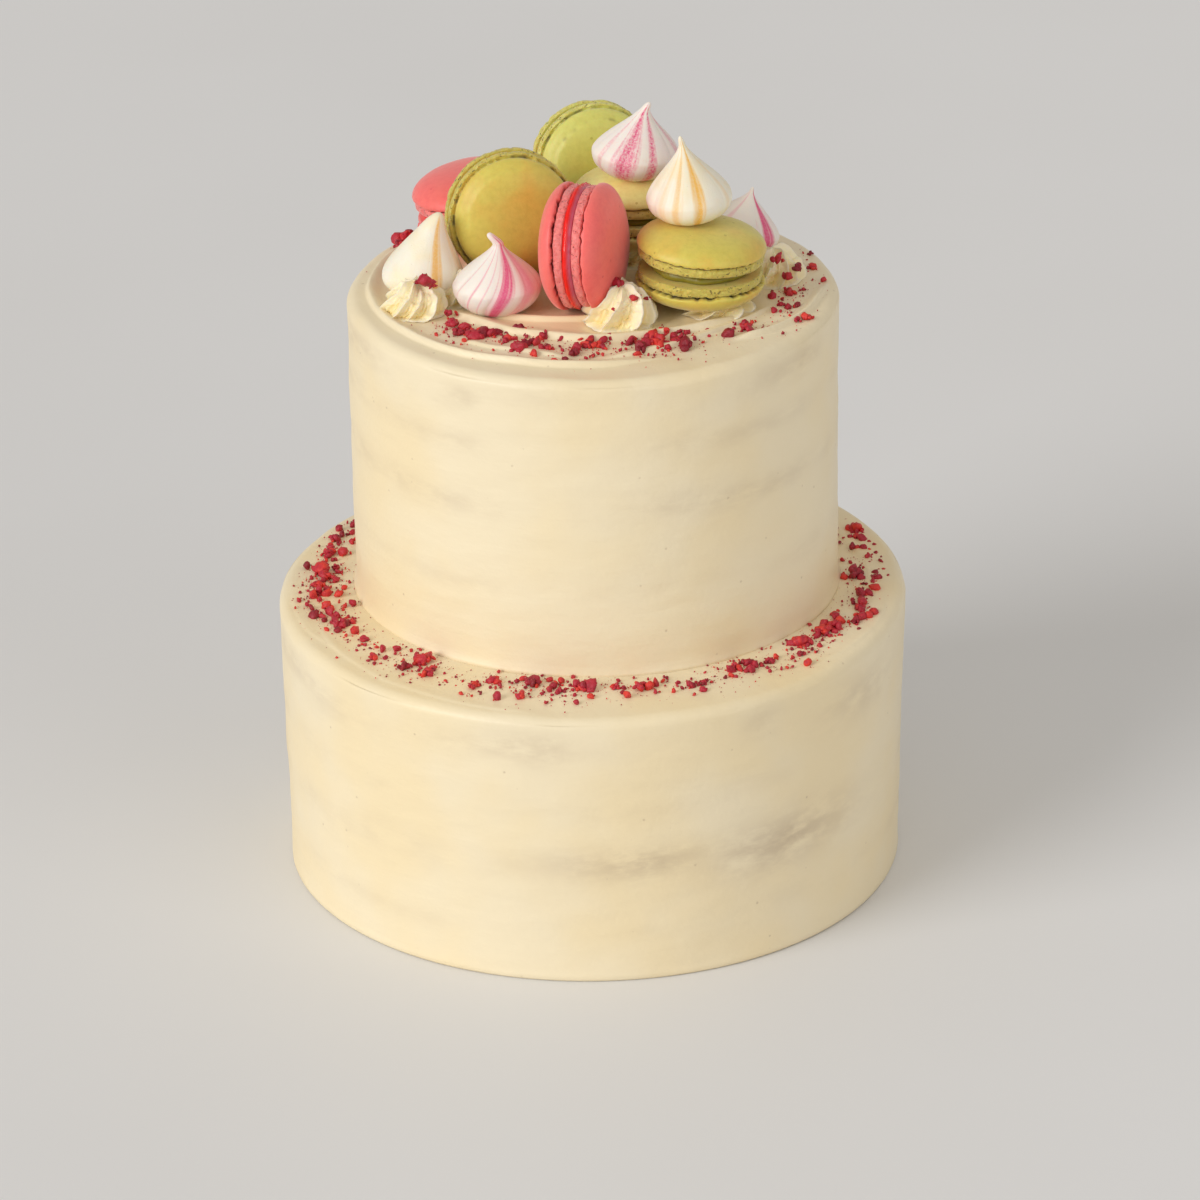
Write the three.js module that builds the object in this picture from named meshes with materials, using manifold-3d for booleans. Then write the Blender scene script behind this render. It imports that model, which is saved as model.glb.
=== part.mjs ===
// A two-tier iced layer cake, decorated with macarons, meringue kisses and piped rosettes.
// Millimetres, +Z up. The origin is the middle of the lower tier's base, and the front faces -Y.
import * as THREE from 'three';
import { mergeVertices } from 'three/addons/utils/BufferGeometryUtils.js';
import Module from 'manifold-3d';

const wasm = await Module();
wasm.setup();

// Driving dimensions of the two tiers: radius at the foot and below the brow, height, edge rounding.
const LOWER = { at: [0, 0, 0], foot: 110, brow: 111.6, height: 101.3, round: 3.8 };
const UPPER = { at: [2.3, 10.5, LOWER.height], foot: 86.4, brow: 86.7, height: 109.9, round: 4.2 };
const TOP = LOWER.height + UPPER.height;
// Towards the back right the lower tier's brow was pushed out and up as it was iced.
const SWELL = { toward: 52, out: 2.2, up: 1.4, flat: 98.5 };
const TIER_SIDES = 64;

// A macaron shell: a ruffled foot below a smooth dome that is widest just above the foot.
const SHELL = { radius: 22.6, height: 12, foot: 3.6, widest: 4.5, footInset: 0.8, ruffle: 0.45 };
const SHELL_SIDES = 22;
const FILLING = { thick: 3, bulge: 0.5 };

// A meringue kiss and a piped rosette, each on its own axis.
const KISS = { radius: 15.1, widest: 9, height: 28, tip: 1.2, curl: 0, ridges: 10, ridge: 0.02, twist: 0.5 };
const KISS_SIDES = 20;
const ROSETTE = { radius: 14, height: 15, lobes: 8, groove: 0.26, twist: 0.9 };
const ROSETTE_SIDES = 32;

// Room left between pieces that press into each other.
const CLEAR = 0.3;

const PINK = { shell: 0xe0606c, filling: 0xc0202c };
const GREEN = { shell: 0xb8b040, filling: 0x8a8a38 };
const YELLOW = { shell: 0xcfc05a, filling: 0xb0a048 };
const ICING = 0xecdcae;
const MERINGUE = 0xf4ecdc;

// Where each topping stands. The axis of a macaron runs from its base shell to its top shell, and
// that of a kiss from its base to its tip: azimuth is measured from +X, elevation from the level. A
// macaron can gape, and a kiss's tip can curl, both towards +X.
const MACARONS = [
  {
    name: 'macaron_pink_front', colour: PINK, centre: [-0.5, -8.6, TOP + 22.9],
    azimuth: -16.7, elevation: 3.2, filled: 20.6, radius: 22.3,
  },
  {
    name: 'macaron_green_left', colour: GREEN, centre: [-25.2, 21.5, TOP + 23.5],
    azimuth: -77.2, elevation: 8.7, filled: 19.5, height: 11,
  },
  {
    name: 'macaron_green_back', colour: GREEN, centre: [3.5, 70.5, TOP + 23.6],
    azimuth: -74.4, elevation: 10, filled: 20, height: 11,
  },
  {
    name: 'macaron_green_right', colour: GREEN, centre: [39.9, -5.4, TOP + 15.4],
    azimuth: 0, elevation: 88, filled: 17.5, thick: 3.8, gape: 2.5,
  },
  {
    name: 'macaron_yellow_middle', colour: YELLOW, centre: [18, 37.4, TOP + 19.8],
    azimuth: 90, elevation: 87, filled: 18, radius: 22,
  },
  {
    name: 'macaron_pink_back', colour: PINK, centre: [-38.9, 56, TOP + 14.6],
    azimuth: 180, elevation: 82.5, filled: 18.5, radius: 22,
  },
];
const KISSES = [
  {
    name: 'kiss_pink_top', base: [17.2, 32.5, TOP + 34.4],
    azimuth: 0, elevation: 86, radius: 15.2, height: 26.5, widest: 8, curl: 3.4,
  },
  {
    name: 'kiss_orange_top', base: [36.8, -0.3, TOP + 30.15],
    azimuth: 180, elevation: 86, radius: 14.8, height: 30, widest: 7.6, curl: -1.2,
  },
  {
    name: 'kiss_pink_right', base: [52.9, 36.5, TOP + 2.4],
    azimuth: 10, elevation: 76, radius: 13.8, height: 24.8, curl: 0.6,
  },
  {
    name: 'kiss_orange_left', base: [-57.8, 6.4, TOP + 1],
    azimuth: 0, elevation: 86, radius: 14.2, height: 30, widest: 7, tip: 2.6, curl: 4.6,
  },
  {
    name: 'kiss_pink_front', base: [-30.9, -8, TOP + 0.4],
    azimuth: 180, elevation: 89, radius: 15.3, curl: -0.8,
  },
];
const ROSETTES = [
  { name: 'rosette_front', at: [11.9, -20.9], turn: 0 },
  { name: 'rosette_left', at: [-59.5, -8.3], turn: 20, radius: 12.8, height: 12.5 },
  { name: 'rosette_left_inner', at: [-46.5, -0.5], turn: 50, radius: 9, height: 11 },
  { name: 'rosette_right', at: [65.5, 16.5], turn: 35, radius: 12, height: 12.5 },
  { name: 'dab_right', at: [45, -11], turn: 10, height: 7 },
  { name: 'dab_middle', at: [18, 38], turn: 25, height: 9 },
];

// Dried raspberry crumbs: how many, their size range, and the rings that they lie in round the upper
// tier's axis.
const CRUMB = { least: 1.5, most: 3.6, sunk: 0.35 };
const LEDGE_CRUMBS = { count: 50, inner: 89, outer: 107, seed: 675 };
const TOP_CRUMBS = { count: 34, inner: 41, outer: 68, seed: 677 };

const radians = THREE.MathUtils.degToRad;

// Repeatable random numbers from 0 to 1.
function randomFrom(seed) {
  let state = seed;
  return () => {
    state = (state + 0x6d2b79f5) | 0;
    let mixed = Math.imul(state ^ (state >>> 15), 1 | state);
    mixed = (mixed + Math.imul(mixed ^ (mixed >>> 7), 61 | mixed)) ^ mixed;
    return ((mixed ^ (mixed >>> 14)) >>> 0) / 4294967296;
  };
}

// A closed turned solid about +Z. Its outline of [radius, height] pairs starts and ends on the axis.
function turned(outline, sides) {
  const points = outline.map(([r, z]) => new THREE.Vector2(r, z));
  return new THREE.LatheGeometry(points, sides).rotateX(Math.PI / 2);
}

// Moves each point of a turned solid by a rule in its own angle, radius and height.
function reshaped(geometry, rule) {
  const place = geometry.attributes.position;
  for (let i = 0; i < place.count; i += 1) {
    const x = place.getX(i);
    const y = place.getY(i);
    const [nx, ny, nz] = rule(Math.atan2(y, x), Math.hypot(x, y), place.getZ(i));
    place.setXYZ(i, nx, ny, nz);
  }
  return geometry;
}

// The points of a quarter round, from straight out to straight up.
function quarterRound(centre, radius, steps) {
  return Array.from({ length: steps + 1 }, (_, i) => {
    const angle = (i / steps) * (Math.PI / 2);
    return [centre[0] + radius * Math.cos(angle), centre[1] + radius * Math.sin(angle)];
  });
}

function solidOf(geometry) {
  const bare = (geometry.index ? geometry.toNonIndexed() : geometry.clone());
  bare.deleteAttribute('normal');
  bare.deleteAttribute('uv');
  const merged = mergeVertices(bare, 1e-3);
  return new wasm.Manifold(new wasm.Mesh({
    numProp: 3,
    vertProperties: new Float32Array(merged.attributes.position.array),
    triVerts: new Uint32Array(merged.index.array),
  }));
}

function geometryOf(solid) {
  const mesh = solid.getMesh();
  const geometry = new THREE.BufferGeometry();
  geometry.setAttribute('position', new THREE.BufferAttribute(new Float32Array(mesh.vertProperties), 3));
  geometry.setIndex(new THREE.BufferAttribute(new Uint32Array(mesh.triVerts), 1));
  geometry.computeVertexNormals();
  return geometry;
}

// A cut can leave scraps, so only the largest body is kept.
function largestBody(solid) {
  const bodies = solid.decompose();
  return bodies.reduce((best, body) => (body.volume() > best.volume() ? body : best), bodies[0]);
}

function meshOf(name, geometry, colour, roughness = 0.7) {
  const material = new THREE.MeshStandardMaterial({ color: colour, roughness, metalness: 0 });
  const mesh = new THREE.Mesh(geometry, material);
  mesh.name = name;
  return mesh;
}

// The turn that carries +Z onto the axis with this azimuth and elevation.
function axisTurn(azimuth, elevation) {
  const level = Math.cos(radians(elevation));
  const axis = new THREE.Vector3(
    level * Math.cos(radians(azimuth)),
    level * Math.sin(radians(azimuth)),
    Math.sin(radians(elevation)),
  );
  return new THREE.Quaternion().setFromUnitVectors(new THREE.Vector3(0, 0, 1), axis);
}

// A tier's outline: a small chamfer at the foot, a nearly upright wall, a round brow, then its top face.
function tierOutline(tier, topFace) {
  const brow = quarterRound([tier.brow - tier.round, tier.height - tier.round], tier.round, 3);
  return [[0, 0], [tier.foot - 0.8, 0], [tier.foot, 0.8], ...brow, ...topFace, [0, tier.height]];
}

// The palette knife leaves a raised lip just inside the brow of the upper tier.
function knifeLip(tier) {
  const lip = tier.brow - tier.round - 1.8;
  return [[lip + 1.6, tier.height - 0.5], [lip, tier.height + 0.5], [lip - 2.4, tier.height]];
}

// One crumb: a pebble of 20 faces, stretched and turned at random, partly sunk into the icing.
function crumb(random, x, y, z) {
  const size = CRUMB.least + (CRUMB.most - CRUMB.least) * random() ** 2.2;
  const pebble = new THREE.IcosahedronGeometry(size, 0);
  pebble.scale(1, 0.65 + 0.35 * random(), 0.55 + 0.3 * random());
  pebble.rotateZ(random() * Math.PI * 2).rotateX((random() - 0.5) * 0.9);
  return pebble.translate(x, y, z + size * CRUMB.sunk);
}

// Scatters crumbs in a ring on a tier's top face, clear of what the test refuses.
function crumbsOn(tier, ring, allowed) {
  const random = randomFrom(ring.seed);
  const made = [];
  while (made.length < ring.count) {
    const angle = random() * Math.PI * 2;
    const radius = ring.inner + (ring.outer - ring.inner) * (0.5 + 0.5 * (random() - random()));
    const x = UPPER.at[0] + radius * Math.cos(angle);
    const y = UPPER.at[1] + radius * Math.sin(angle);
    if (allowed(x, y)) {
      made.push(solidOf(crumb(random, x - tier.at[0], y - tier.at[1], tier.height)));
    }
  }
  return made;
}

// Every footprint on the upper tier, as a centre and a radius.
const FOOTPRINTS = [
  ...MACARONS.map((m) => [m.centre[0], m.centre[1], m.elevation > 45 ? 23 : 24]),
  ...KISSES.map((k) => [k.base[0], k.base[1], 16]),
  ...ROSETTES.map((r) => [r.at[0], r.at[1], r.radius ?? ROSETTE.radius]),
];
const CRUMB_ROOM = CRUMB.most + 0.6;

function clearOfToppings(x, y) {
  return FOOTPRINTS.every(([fx, fy, reach]) => Math.hypot(x - fx, y - fy) > reach + CRUMB_ROOM);
}

function clearOfUpperTier(x, y) {
  const fromUpper = Math.hypot(x - UPPER.at[0], y - UPPER.at[1]);
  const fromLower = Math.hypot(x, y);
  return fromUpper > UPPER.foot + CRUMB_ROOM && fromLower < LOWER.brow - LOWER.round - 1;
}

// How far a tier swells at an angle, from 0 to 1.
function swellAt(angle) {
  return Math.max(0, Math.cos(angle - radians(SWELL.toward))) ** 2;
}

function tier(name, size, topFace, swell, crumbs) {
  const bulged = reshaped(turned(tierOutline(size, topFace), TIER_SIDES), (angle, r, z) => {
    const near = swell * swellAt(angle);
    const out = r > SWELL.flat + 1 ? r + SWELL.out * near * (z / size.height) : r;
    const up = r > SWELL.flat + 1 && z > size.height - size.round - 0.1 ? SWELL.up * near : 0;
    return [out * Math.cos(angle), out * Math.sin(angle), z + up];
  });
  const whole = crumbs.reduce((sum, piece) => sum.add(piece), solidOf(bulged));
  const mesh = meshOf(name, geometryOf(largestBody(whole)), ICING, 0.55);
  mesh.position.set(...size.at);
  return mesh;
}

// A macaron shell with its flat face down, `drop` below z = 0. Its foot is ruffled at random.
function shell(random, radius, height, drop = 0) {
  const foot = radius - SHELL.footInset;
  const dome = height - SHELL.widest;
  const arc = [22, 45, 68].map(radians).map((step) => [
    radius * Math.cos(step) ** 0.72,
    SHELL.widest + dome * Math.sin(step) ** 1.1,
  ]);
  const outline = [
    [0, -drop], [foot - 0.7, -drop], [foot, 1.2], [foot - 0.2, SHELL.foot - 0.8], [radius, SHELL.widest],
    ...arc, [0, height],
  ];
  const ruffles = Array.from({ length: SHELL_SIDES }, () => (random() - 0.5) * 2 * SHELL.ruffle);
  return reshaped(turned(outline, SHELL_SIDES), (angle, r, z) => {
    const side = Math.round((angle / (Math.PI * 2) + 1) * SHELL_SIDES) % SHELL_SIDES;
    const out = r + (r > foot - 1 && z < SHELL.foot ? ruffles[side] : 0);
    return [out * Math.cos(angle), out * Math.sin(angle), z];
  });
}

// The filling is a short disc with a bulging edge. Where the shells gape, its top face slopes.
function filling(radius, thick, gape) {
  const bulged = radius + FILLING.bulge;
  const outline = [[0, 0], [radius, 0], [bulged, thick / 2], [radius, thick], [0, thick]];
  return reshaped(turned(outline, SHELL_SIDES), (angle, r, z) => {
    const x = r * Math.cos(angle);
    const slope = z > thick / 2 ? -x * Math.tan(radians(gape)) : 0;
    return [x, r * Math.sin(angle), z + slope];
  });
}

// Base shell turned over, filling, then top shell, stacked along +Z about the filling's middle.
function macaron(spec, index) {
  const { radius = SHELL.radius, height = SHELL.height, thick = FILLING.thick, gape = 0 } = spec;
  const random = randomFrom(100 + index);
  const half = thick / 2;
  const base = meshOf(`${spec.name}_base`, shell(random, radius, height), spec.colour.shell);
  base.rotation.x = Math.PI;
  base.position.z = -half - 0.05;
  const disc = filling(spec.filled, thick, gape);
  const middle = meshOf(`${spec.name}_filling`, disc, spec.colour.filling, 0.4);
  middle.position.z = -half;
  const top = meshOf(`${spec.name}_top`, shell(random, radius, height), spec.colour.shell);
  top.rotation.y = radians(gape);
  top.position.z = half + 0.05;
  const group = new THREE.Group();
  group.add(base, middle, top);
  group.quaternion.copy(axisTurn(spec.azimuth, spec.elevation));
  group.position.set(...spec.centre);
  return group;
}

// A kiss's radius at a height: round below its widest ring, then drawn in by a hollow curve to its tip.
function kissRadius(size, z) {
  if (z < size.widest) {
    return size.radius * Math.sqrt(1 - ((size.widest - z) / (size.widest * 1.2)) ** 2.2);
  }
  const up = (z - size.widest) / (size.height - size.widest);
  return (size.radius - size.tip) * (1 - up ** 1.4) ** 2 + size.tip * Math.sqrt(1 - up ** 6);
}

function kiss(size, grown = 0) {
  const heights = [0, 0.12, 0.3, 0.45, 0.58, 0.72, 0.86, 0.95];
  const outline = [
    [0, -grown],
    ...heights.map((share) => {
      const z = size.height * share;
      return [kissRadius(size, z) + grown, share === 0 ? -grown : z];
    }),
    [0, size.height + grown],
  ];
  return reshaped(turned(outline, KISS_SIDES), (angle, r, z) => {
    const up = Math.max(0, z / size.height);
    const ridged = r * (1 + KISS.ridge * Math.cos(KISS.ridges * (angle - KISS.twist * up)) * (1 - up));
    return [ridged * Math.cos(angle) + size.curl * up ** 2, ridged * Math.sin(angle), z];
  });
}

function kissSize(spec) {
  return { ...KISS, ...spec };
}

// A rosette piped through a star nozzle: a low dome whose lobes twist as they rise to a small peak.
function rosette(spec) {
  const { radius = ROSETTE.radius, height = ROSETTE.height } = spec;
  const outline = [
    [0, 0], [radius * 0.86, 0], [radius, height * 0.16], [radius * 0.9, height * 0.42],
    [radius * 0.6, height * 0.66], [radius * 0.26, height * 0.86], [0, height],
  ];
  return reshaped(turned(outline, ROSETTE_SIDES), (angle, r, z) => {
    const up = z / height;
    const lobe = Math.abs(Math.cos((ROSETTE.lobes / 2) * angle));
    const out = r * (1 - ROSETTE.groove * (1 - lobe) * (1 - 0.5 * up));
    const turn = angle + ROSETTE.twist * up + radians(spec.turn);
    return [out * Math.cos(turn), out * Math.sin(turn), z];
  });
}

// The spaces that rosettes give up to the macarons and kisses pressed into them.
function pressedTools() {
  const tools = [];
  for (const spec of MACARONS) {
    const { radius = SHELL.radius, height = SHELL.height, thick = FILLING.thick } = spec;
    const pose = new THREE.Matrix4().compose(
      new THREE.Vector3(...spec.centre),
      axisTurn(spec.azimuth, spec.elevation),
      new THREE.Vector3(1, 1, 1),
    );
    for (const flip of [0, Math.PI]) {
      const tool = shell(() => 1, radius + CLEAR, height + CLEAR, thick / 2).translate(0, 0, thick / 2);
      tools.push(solidOf(tool.rotateX(flip).applyMatrix4(pose)));
    }
  }
  for (const spec of KISSES) {
    const turn = new THREE.Matrix4().makeRotationFromQuaternion(axisTurn(spec.azimuth, spec.elevation));
    tools.push(solidOf(kiss(kissSize(spec), CLEAR).applyMatrix4(turn).translate(...spec.base)));
  }
  return tools;
}

const cake = new THREE.Group();
const ledgeCrumbs = crumbsOn(LOWER, LEDGE_CRUMBS, clearOfUpperTier);
const topCrumbs = crumbsOn(UPPER, TOP_CRUMBS, clearOfToppings);
cake.add(
  tier('tier_lower', LOWER, [[SWELL.flat, LOWER.height]], 1, ledgeCrumbs),
  tier('tier_upper', UPPER, knifeLip(UPPER), 0, topCrumbs),
);
MACARONS.forEach((spec, index) => cake.add(macaron(spec, index)));
for (const spec of KISSES) {
  const mesh = meshOf(spec.name, kiss(kissSize(spec)), MERINGUE);
  mesh.quaternion.copy(axisTurn(spec.azimuth, spec.elevation));
  mesh.position.set(...spec.base);
  cake.add(mesh);
}
const pressed = pressedTools();
const piped = [];
for (const spec of ROSETTES) {
  const lump = solidOf(rosette(spec).translate(spec.at[0], spec.at[1], TOP + 0.02));
  const cut = [...pressed, ...piped].reduce((rest, tool) => rest.subtract(tool), lump);
  const kept = largestBody(largestBody(cut).simplify(0.05));
  piped.push(solidOf(rosette(spec).scale(1.03, 1.03, 1.03).translate(spec.at[0], spec.at[1], TOP)));
  cake.add(meshOf(spec.name, geometryOf(kept), ICING, 0.55));
}

export default cake;
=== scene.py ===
"""Dresses a two-tier iced layer cake: satin icing, macarons, meringue kisses, piped rosettes and
raspberry crumbs. Shapes are worked out in millimetres and put into the meshes in metres."""

import itertools
import math

import bmesh
import bpy
import numpy as np
from bpy.props import FloatProperty, FloatVectorProperty, IntProperty, PointerProperty
from mathutils import Matrix, Vector


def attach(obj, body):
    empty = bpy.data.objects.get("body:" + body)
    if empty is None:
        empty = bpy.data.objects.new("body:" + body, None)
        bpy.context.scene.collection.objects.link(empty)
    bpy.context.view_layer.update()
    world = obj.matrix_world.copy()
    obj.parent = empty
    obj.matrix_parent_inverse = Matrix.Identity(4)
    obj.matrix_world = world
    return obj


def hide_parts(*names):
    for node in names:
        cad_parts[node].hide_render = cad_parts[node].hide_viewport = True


bl_info = {
    "name": "Layer Cake",
    "version": (1, 0, 0),
    "blender": (4, 5, 0),
    "location": "3D View > Sidebar > Cake",
    "description": "Makes a two-tier layer cake's icing, macarons, kisses, rosettes and crumbs",
    "category": "Add Mesh",
}

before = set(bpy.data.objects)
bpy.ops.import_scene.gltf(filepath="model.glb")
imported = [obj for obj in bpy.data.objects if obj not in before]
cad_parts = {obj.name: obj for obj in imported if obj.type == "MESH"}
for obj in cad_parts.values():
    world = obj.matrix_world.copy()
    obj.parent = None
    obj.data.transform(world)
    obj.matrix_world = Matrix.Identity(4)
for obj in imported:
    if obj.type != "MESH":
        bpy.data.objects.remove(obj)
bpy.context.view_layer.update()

MM = 0.001
TAU = 2 * math.pi

# The tiers, in millimetres, as the solids have them.
LOWER = {"at": (0.0, 0.0, 0.0), "foot": 110.0, "brow": 111.6, "height": 101.3, "round": 3.8}
UPPER = {"at": (2.3, 10.5, 101.3), "foot": 86.4, "brow": 86.7, "height": 109.9, "round": 4.2,
         "skirt": 0.8}
TOP = LOWER["height"] + UPPER["height"]
# How the lower tier's brow swells: the angle it swells towards, how far out and up, and the radius
# from which it does.
SWELL = {"toward": 52.0, "out": 2.2, "up": 1.4, "flat": 98.5}

# Arcs that the palette knife left on the top faces: where each starts and ends, its radius at its
# start, middle and end, its height, and how far it falls away outwards and inwards.
UPPER_MARKS = [
    (136, 292, 80.5, 76.5, 69.0, 2.2, 0.55, 4.0),
    (192, 338, 57.5, 49.0, 61.0, 2.4, 0.55, 5.5),
    (205, 285, 49.0, 33.0, 30.0, 1.8, 0.6, 4.5),
    (270, 345, 66.0, 60.0, 66.0, 1.2, 0.5, 3.5),
    (312, 362, 70.0, 78.0, 81.5, 2.0, 0.7, 3.0),
    (225, 262, 66.0, 63.0, 64.0, 1.0, 0.5, 3.0),
    (10, 150, 79.0, 76.0, 79.5, 1.3, 0.9, 4.0),
    (60, 200, 60.0, 52.0, 44.0, 1.1, 0.8, 4.5),
]
LOWER_MARKS = [
    (172, 214, 107.5, 106.0, 102.5, 0.25, 1.0, 3.0),
    (196, 262, 101.0, 104.5, 106.5, 0.35, 1.0, 3.0),
    (318, 352, 104.0, 106.5, 105.0, 0.5, 1.0, 3.0),
    (60, 150, 106.0, 104.0, 106.0, 0.5, 1.0, 2.0),
]
# Where the sponge shows faintly through each wall, and one patch of painted shadow on the lower
# wall: level bands all round, as height, half thickness and strength, and single patches, as angle,
# height, half width, half thickness and strength.
UPPER_THIN = {"bands": [(101, 5.0, 0.4), (84, 4.0, 0.25), (61, 4.5, 0.3), (30, 4.0, 0.15)],
              "patches": [(-98, 103, 22, 4.0, 0.25), (-60, 62, 16, 3.5, 0.25)]}
LOWER_THIN = {"bands": [(91, 6.0, 0.45), (66, 4.0, 0.3), (47, 7.0, 0.45), (20, 4.0, 0.15)],
              "patches": [(-52, 43, 17, 9.5, 1.0), (-84, 46, 20, 6.0, 0.8),
                          (-32, 84, 12, 8.0, 0.6), (-106, 90, 16, 4.0, 0.5),
                          # The patch at -145 degrees is painted shadow: a grey shadow on the left
                          # of the lower wall.
                          (-145, 88, 12, 7.0, 0.3), (60, 44, 22, 5.0, 0.4),
                          (150, 60, 20, 5.0, 0.3)]}

# The toppings' poses, in millimetres and degrees, as the solids have them. Heights are over the
# upper tier's top face. The axis of a macaron runs from its base shell to its top shell, and that
# of a kiss from its base to its tip. What a topping leaves out is in its operator.
MACARONS = [
    {"name": "pink_front", "colour": "pink", "centre": (-0.5, -8.6, 22.9), "azimuth": -16.7,
     "elevation": 3.2, "filled": 21.6, "radius": 22.3},
    {"name": "green_left", "colour": "green", "centre": (-25.9, 21.5, 23.6), "azimuth": -77.2,
     "elevation": 8.7, "filled": 19.5, "height": 11.0, "radius": 23.1, "flare": 1.9,
     "fold": (150, 66, 18.0, 0.0)},
    {"name": "green_back", "colour": "green", "centre": (3.5, 70.5, 23.6), "azimuth": -74.4,
     "elevation": 10.0, "filled": 20.0, "height": 11.0, "flare": 1.7,
     "fold": (140, 74, 17.4, 0.4), "tint": "pale_green"},
    {"name": "green_right", "colour": "green", "centre": (39.9, -5.4, 15.4), "azimuth": 0.0,
     "elevation": 88.0, "filled": 17.5, "thick": 3.8, "gape": 2.5},
    {"name": "yellow_middle", "colour": "yellow", "centre": (18.0, 37.4, 19.8), "azimuth": 90.0,
     "elevation": 87.0, "filled": 18.0, "radius": 22.0},
    {"name": "pink_back", "colour": "pink", "centre": (-38.9, 56.0, 14.6), "azimuth": 180.0,
     "elevation": 82.5, "filled": 18.5, "radius": 22.0},
]
# Each shell's other colours, for its browned skin, its dark skin, which also paints shade in the
# foot's hollows, its foot, its crease, which is painted shade down in the crease, along a torn fold
# and in the foot's crags, and how far it browns.
SHELL_TONES = {
    "pink": ((252, 132, 118), (226, 70, 84), (255, 140, 136), (140, 10, 18), 0.3),
    "green": ((236, 170, 70), (172, 156, 46), (214, 198, 96), (70, 54, 10), 0.42),
    "pale_green": ((236, 206, 100), (176, 172, 62), (224, 216, 118), (84, 66, 16), 0.25),
    "yellow": ((244, 200, 96), (206, 176, 74), (242, 224, 140), (110, 76, 22), 0.3),
}
# A kiss's streaks: the angle of each, its half width, its strength.
KISSES = [
    {"name": "kiss_pink_top", "base": (17.2, 32.5, 34.4), "azimuth": 0.0, "elevation": 86.0,
     "radius": 15.2, "height": 26.5, "widest": 8.0, "curl": 3.2, "hook": 0.8, "twist": 0.30,
     "tip": 1.7, "neck": 0.88, "flute": 0.030, "sugar": 1,
     "streaks": [(-112, 15, 1.0), (-72, 7.5, 1.0), (-18, 9, 0.5), (60, 12, 0.9), (130, 12, 0.9),
                 (-152, 4, 0.4)]},
    {"name": "kiss_orange_top", "base": (36.8, -0.3, 30.15), "azimuth": 180.0, "elevation": 86.0,
     "radius": 14.8, "height": 30.0, "widest": 7.6, "curl": -1.2, "hook": -0.3, "twist": 0.22,
     "tip": 1.2, "neck": 0.86, "flute": 0.022,
     "streaks": [(-79, 8, 1.0), (-112, 7, 0.6), (-135, 6, 0.3), (-30, 5, 0.25), (40, 12, 0.8),
                 (120, 12, 0.8)]},
    {"name": "kiss_pink_right", "base": (52.9, 36.5, 2.4), "azimuth": 10.0, "elevation": 76.0,
     "radius": 13.8, "height": 24.8, "curl": 0.6, "twist": 0.3, "tip": 0.9, "neck": 0.9,
     "flute": 0.02, "streaks": [(-52, 15, 1.0), (40, 12, 0.9), (130, 12, 0.8), (-140, 8, 0.3)]},
    {"name": "kiss_orange_left", "base": (-57.8, 6.4, 1.0), "azimuth": 0.0, "elevation": 86.0,
     "radius": 14.2, "height": 30.0, "widest": 7.0, "tip": 2.9, "curl": 4.6, "hook": 0.3,
     "twist": 0.1, "neck": 0.98, "flute": 0.006,
     "streaks": [(-72, 10, 0.9), (-22, 8, 0.3), (40, 14, 0.7), (140, 14, 0.7)]},
    {"name": "kiss_pink_front", "base": (-30.9, -8.0, 0.4), "azimuth": 180.0, "elevation": 89.0,
     "radius": 15.3, "curl": 1.6, "hook": -3.2, "twist": 1.1, "tip": 1.9, "neck": 0.76,
     "flute": 0.026,
     "streaks": [(-100, 11, 1.0), (-62, 14, 0.6), (-146, 2.0, 0.6), (-170, 1.8, 0.5),
                 (-128, 1.6, 0.4), (30, 12, 0.8), (100, 12, 0.8)]},
]
ROSETTES = [
    {"name": "rosette_front", "at": (11.9, -20.9), "turn": 0.0},
    {"name": "rosette_left", "at": (-59.5, -8.3), "turn": 20.0, "radius": 12.8, "height": 12.5,
     "deep": 0.20},
    {"name": "rosette_left_inner", "at": (-46.5, -0.5), "turn": 50.0, "radius": 9.0,
     "height": 11.0, "rough": 0.12},
    {"name": "rosette_right", "at": (65.5, 16.5), "turn": 35.0, "radius": 12.0, "height": 12.5},
    {"name": "dab_right", "at": (45.0, -11.0), "turn": 10.0, "height": 7.0},
    {"name": "dab_middle", "at": (18.0, 38.0), "turn": 25.0, "height": 9.0},
]
# Radius of the room that crumbs leave for each kind of topping, as the solids have it.
ROOM = {"lying": 23, "on_edge": 24, "kiss": 16, "piped": 14.0}

# Crumbs, as the solids have them: size range, then how many, the ring round the upper tier's axis
# that they lie in, and the seed.
CRUMB = {"least": 1.5, "most": 3.6, "sunk": 0.35}
LEDGE_CRUMBS = {"count": 50, "inner": 89.0, "outer": 107.0, "seed": 675, "level": LOWER["height"]}
TOP_CRUMBS = {"count": 34, "inner": 41.0, "outer": 68.0, "seed": 677, "level": TOP}
# Crumbs on and beside the piping and the kisses: place, height over the top face and size.
PERCHED = [
    (-56.4, -13.0, 13.0, 3.9), (-52.6, -12.0, 10.6, 1.6), (10.4, -21.0, 14.4, 2.4),
    (16.8, -25.0, 10.2, 2.3), (21.3, -22.0, 8.6, 1.8), (9.2, -33.0, 9.2, 0.8),
    (67.2, 8.0, 11.0, 2.6), (74.3, 10.0, 6.5, 2.1), (70.9, 5.0, 5.0, 2.4),
    (70.5, 2.0, 0.9, 1.8), (-64.6, 57.0, 1.6, 3.4), (-66.5, 52.5, 1.2, 2.6),
    (-62.0, 60.5, 1.2, 2.4), (-48.0, -17.0, 2.4, 1.6), (-45.0, -15.5, 1.6, 1.0),
    (56.2, -32.5, 0.8, 2.4), (54.3, -26.3, 0.5, 1.6), (75.6, -21.3, 0.7, 2.1),
    (72.7, -23.2, 0.5, 1.4), (51.2, -27.0, 0.4, 1.4), (62.8, -29.8, 0.3, 1.1),
    (71.1, 0.6, 0.6, 1.8), (80.0, 25.7, 0.4, 1.7), (67.7, -9.2, 0.5, 1.4), (79.6, 38.0, 0.3, 1.3),
]
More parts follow.
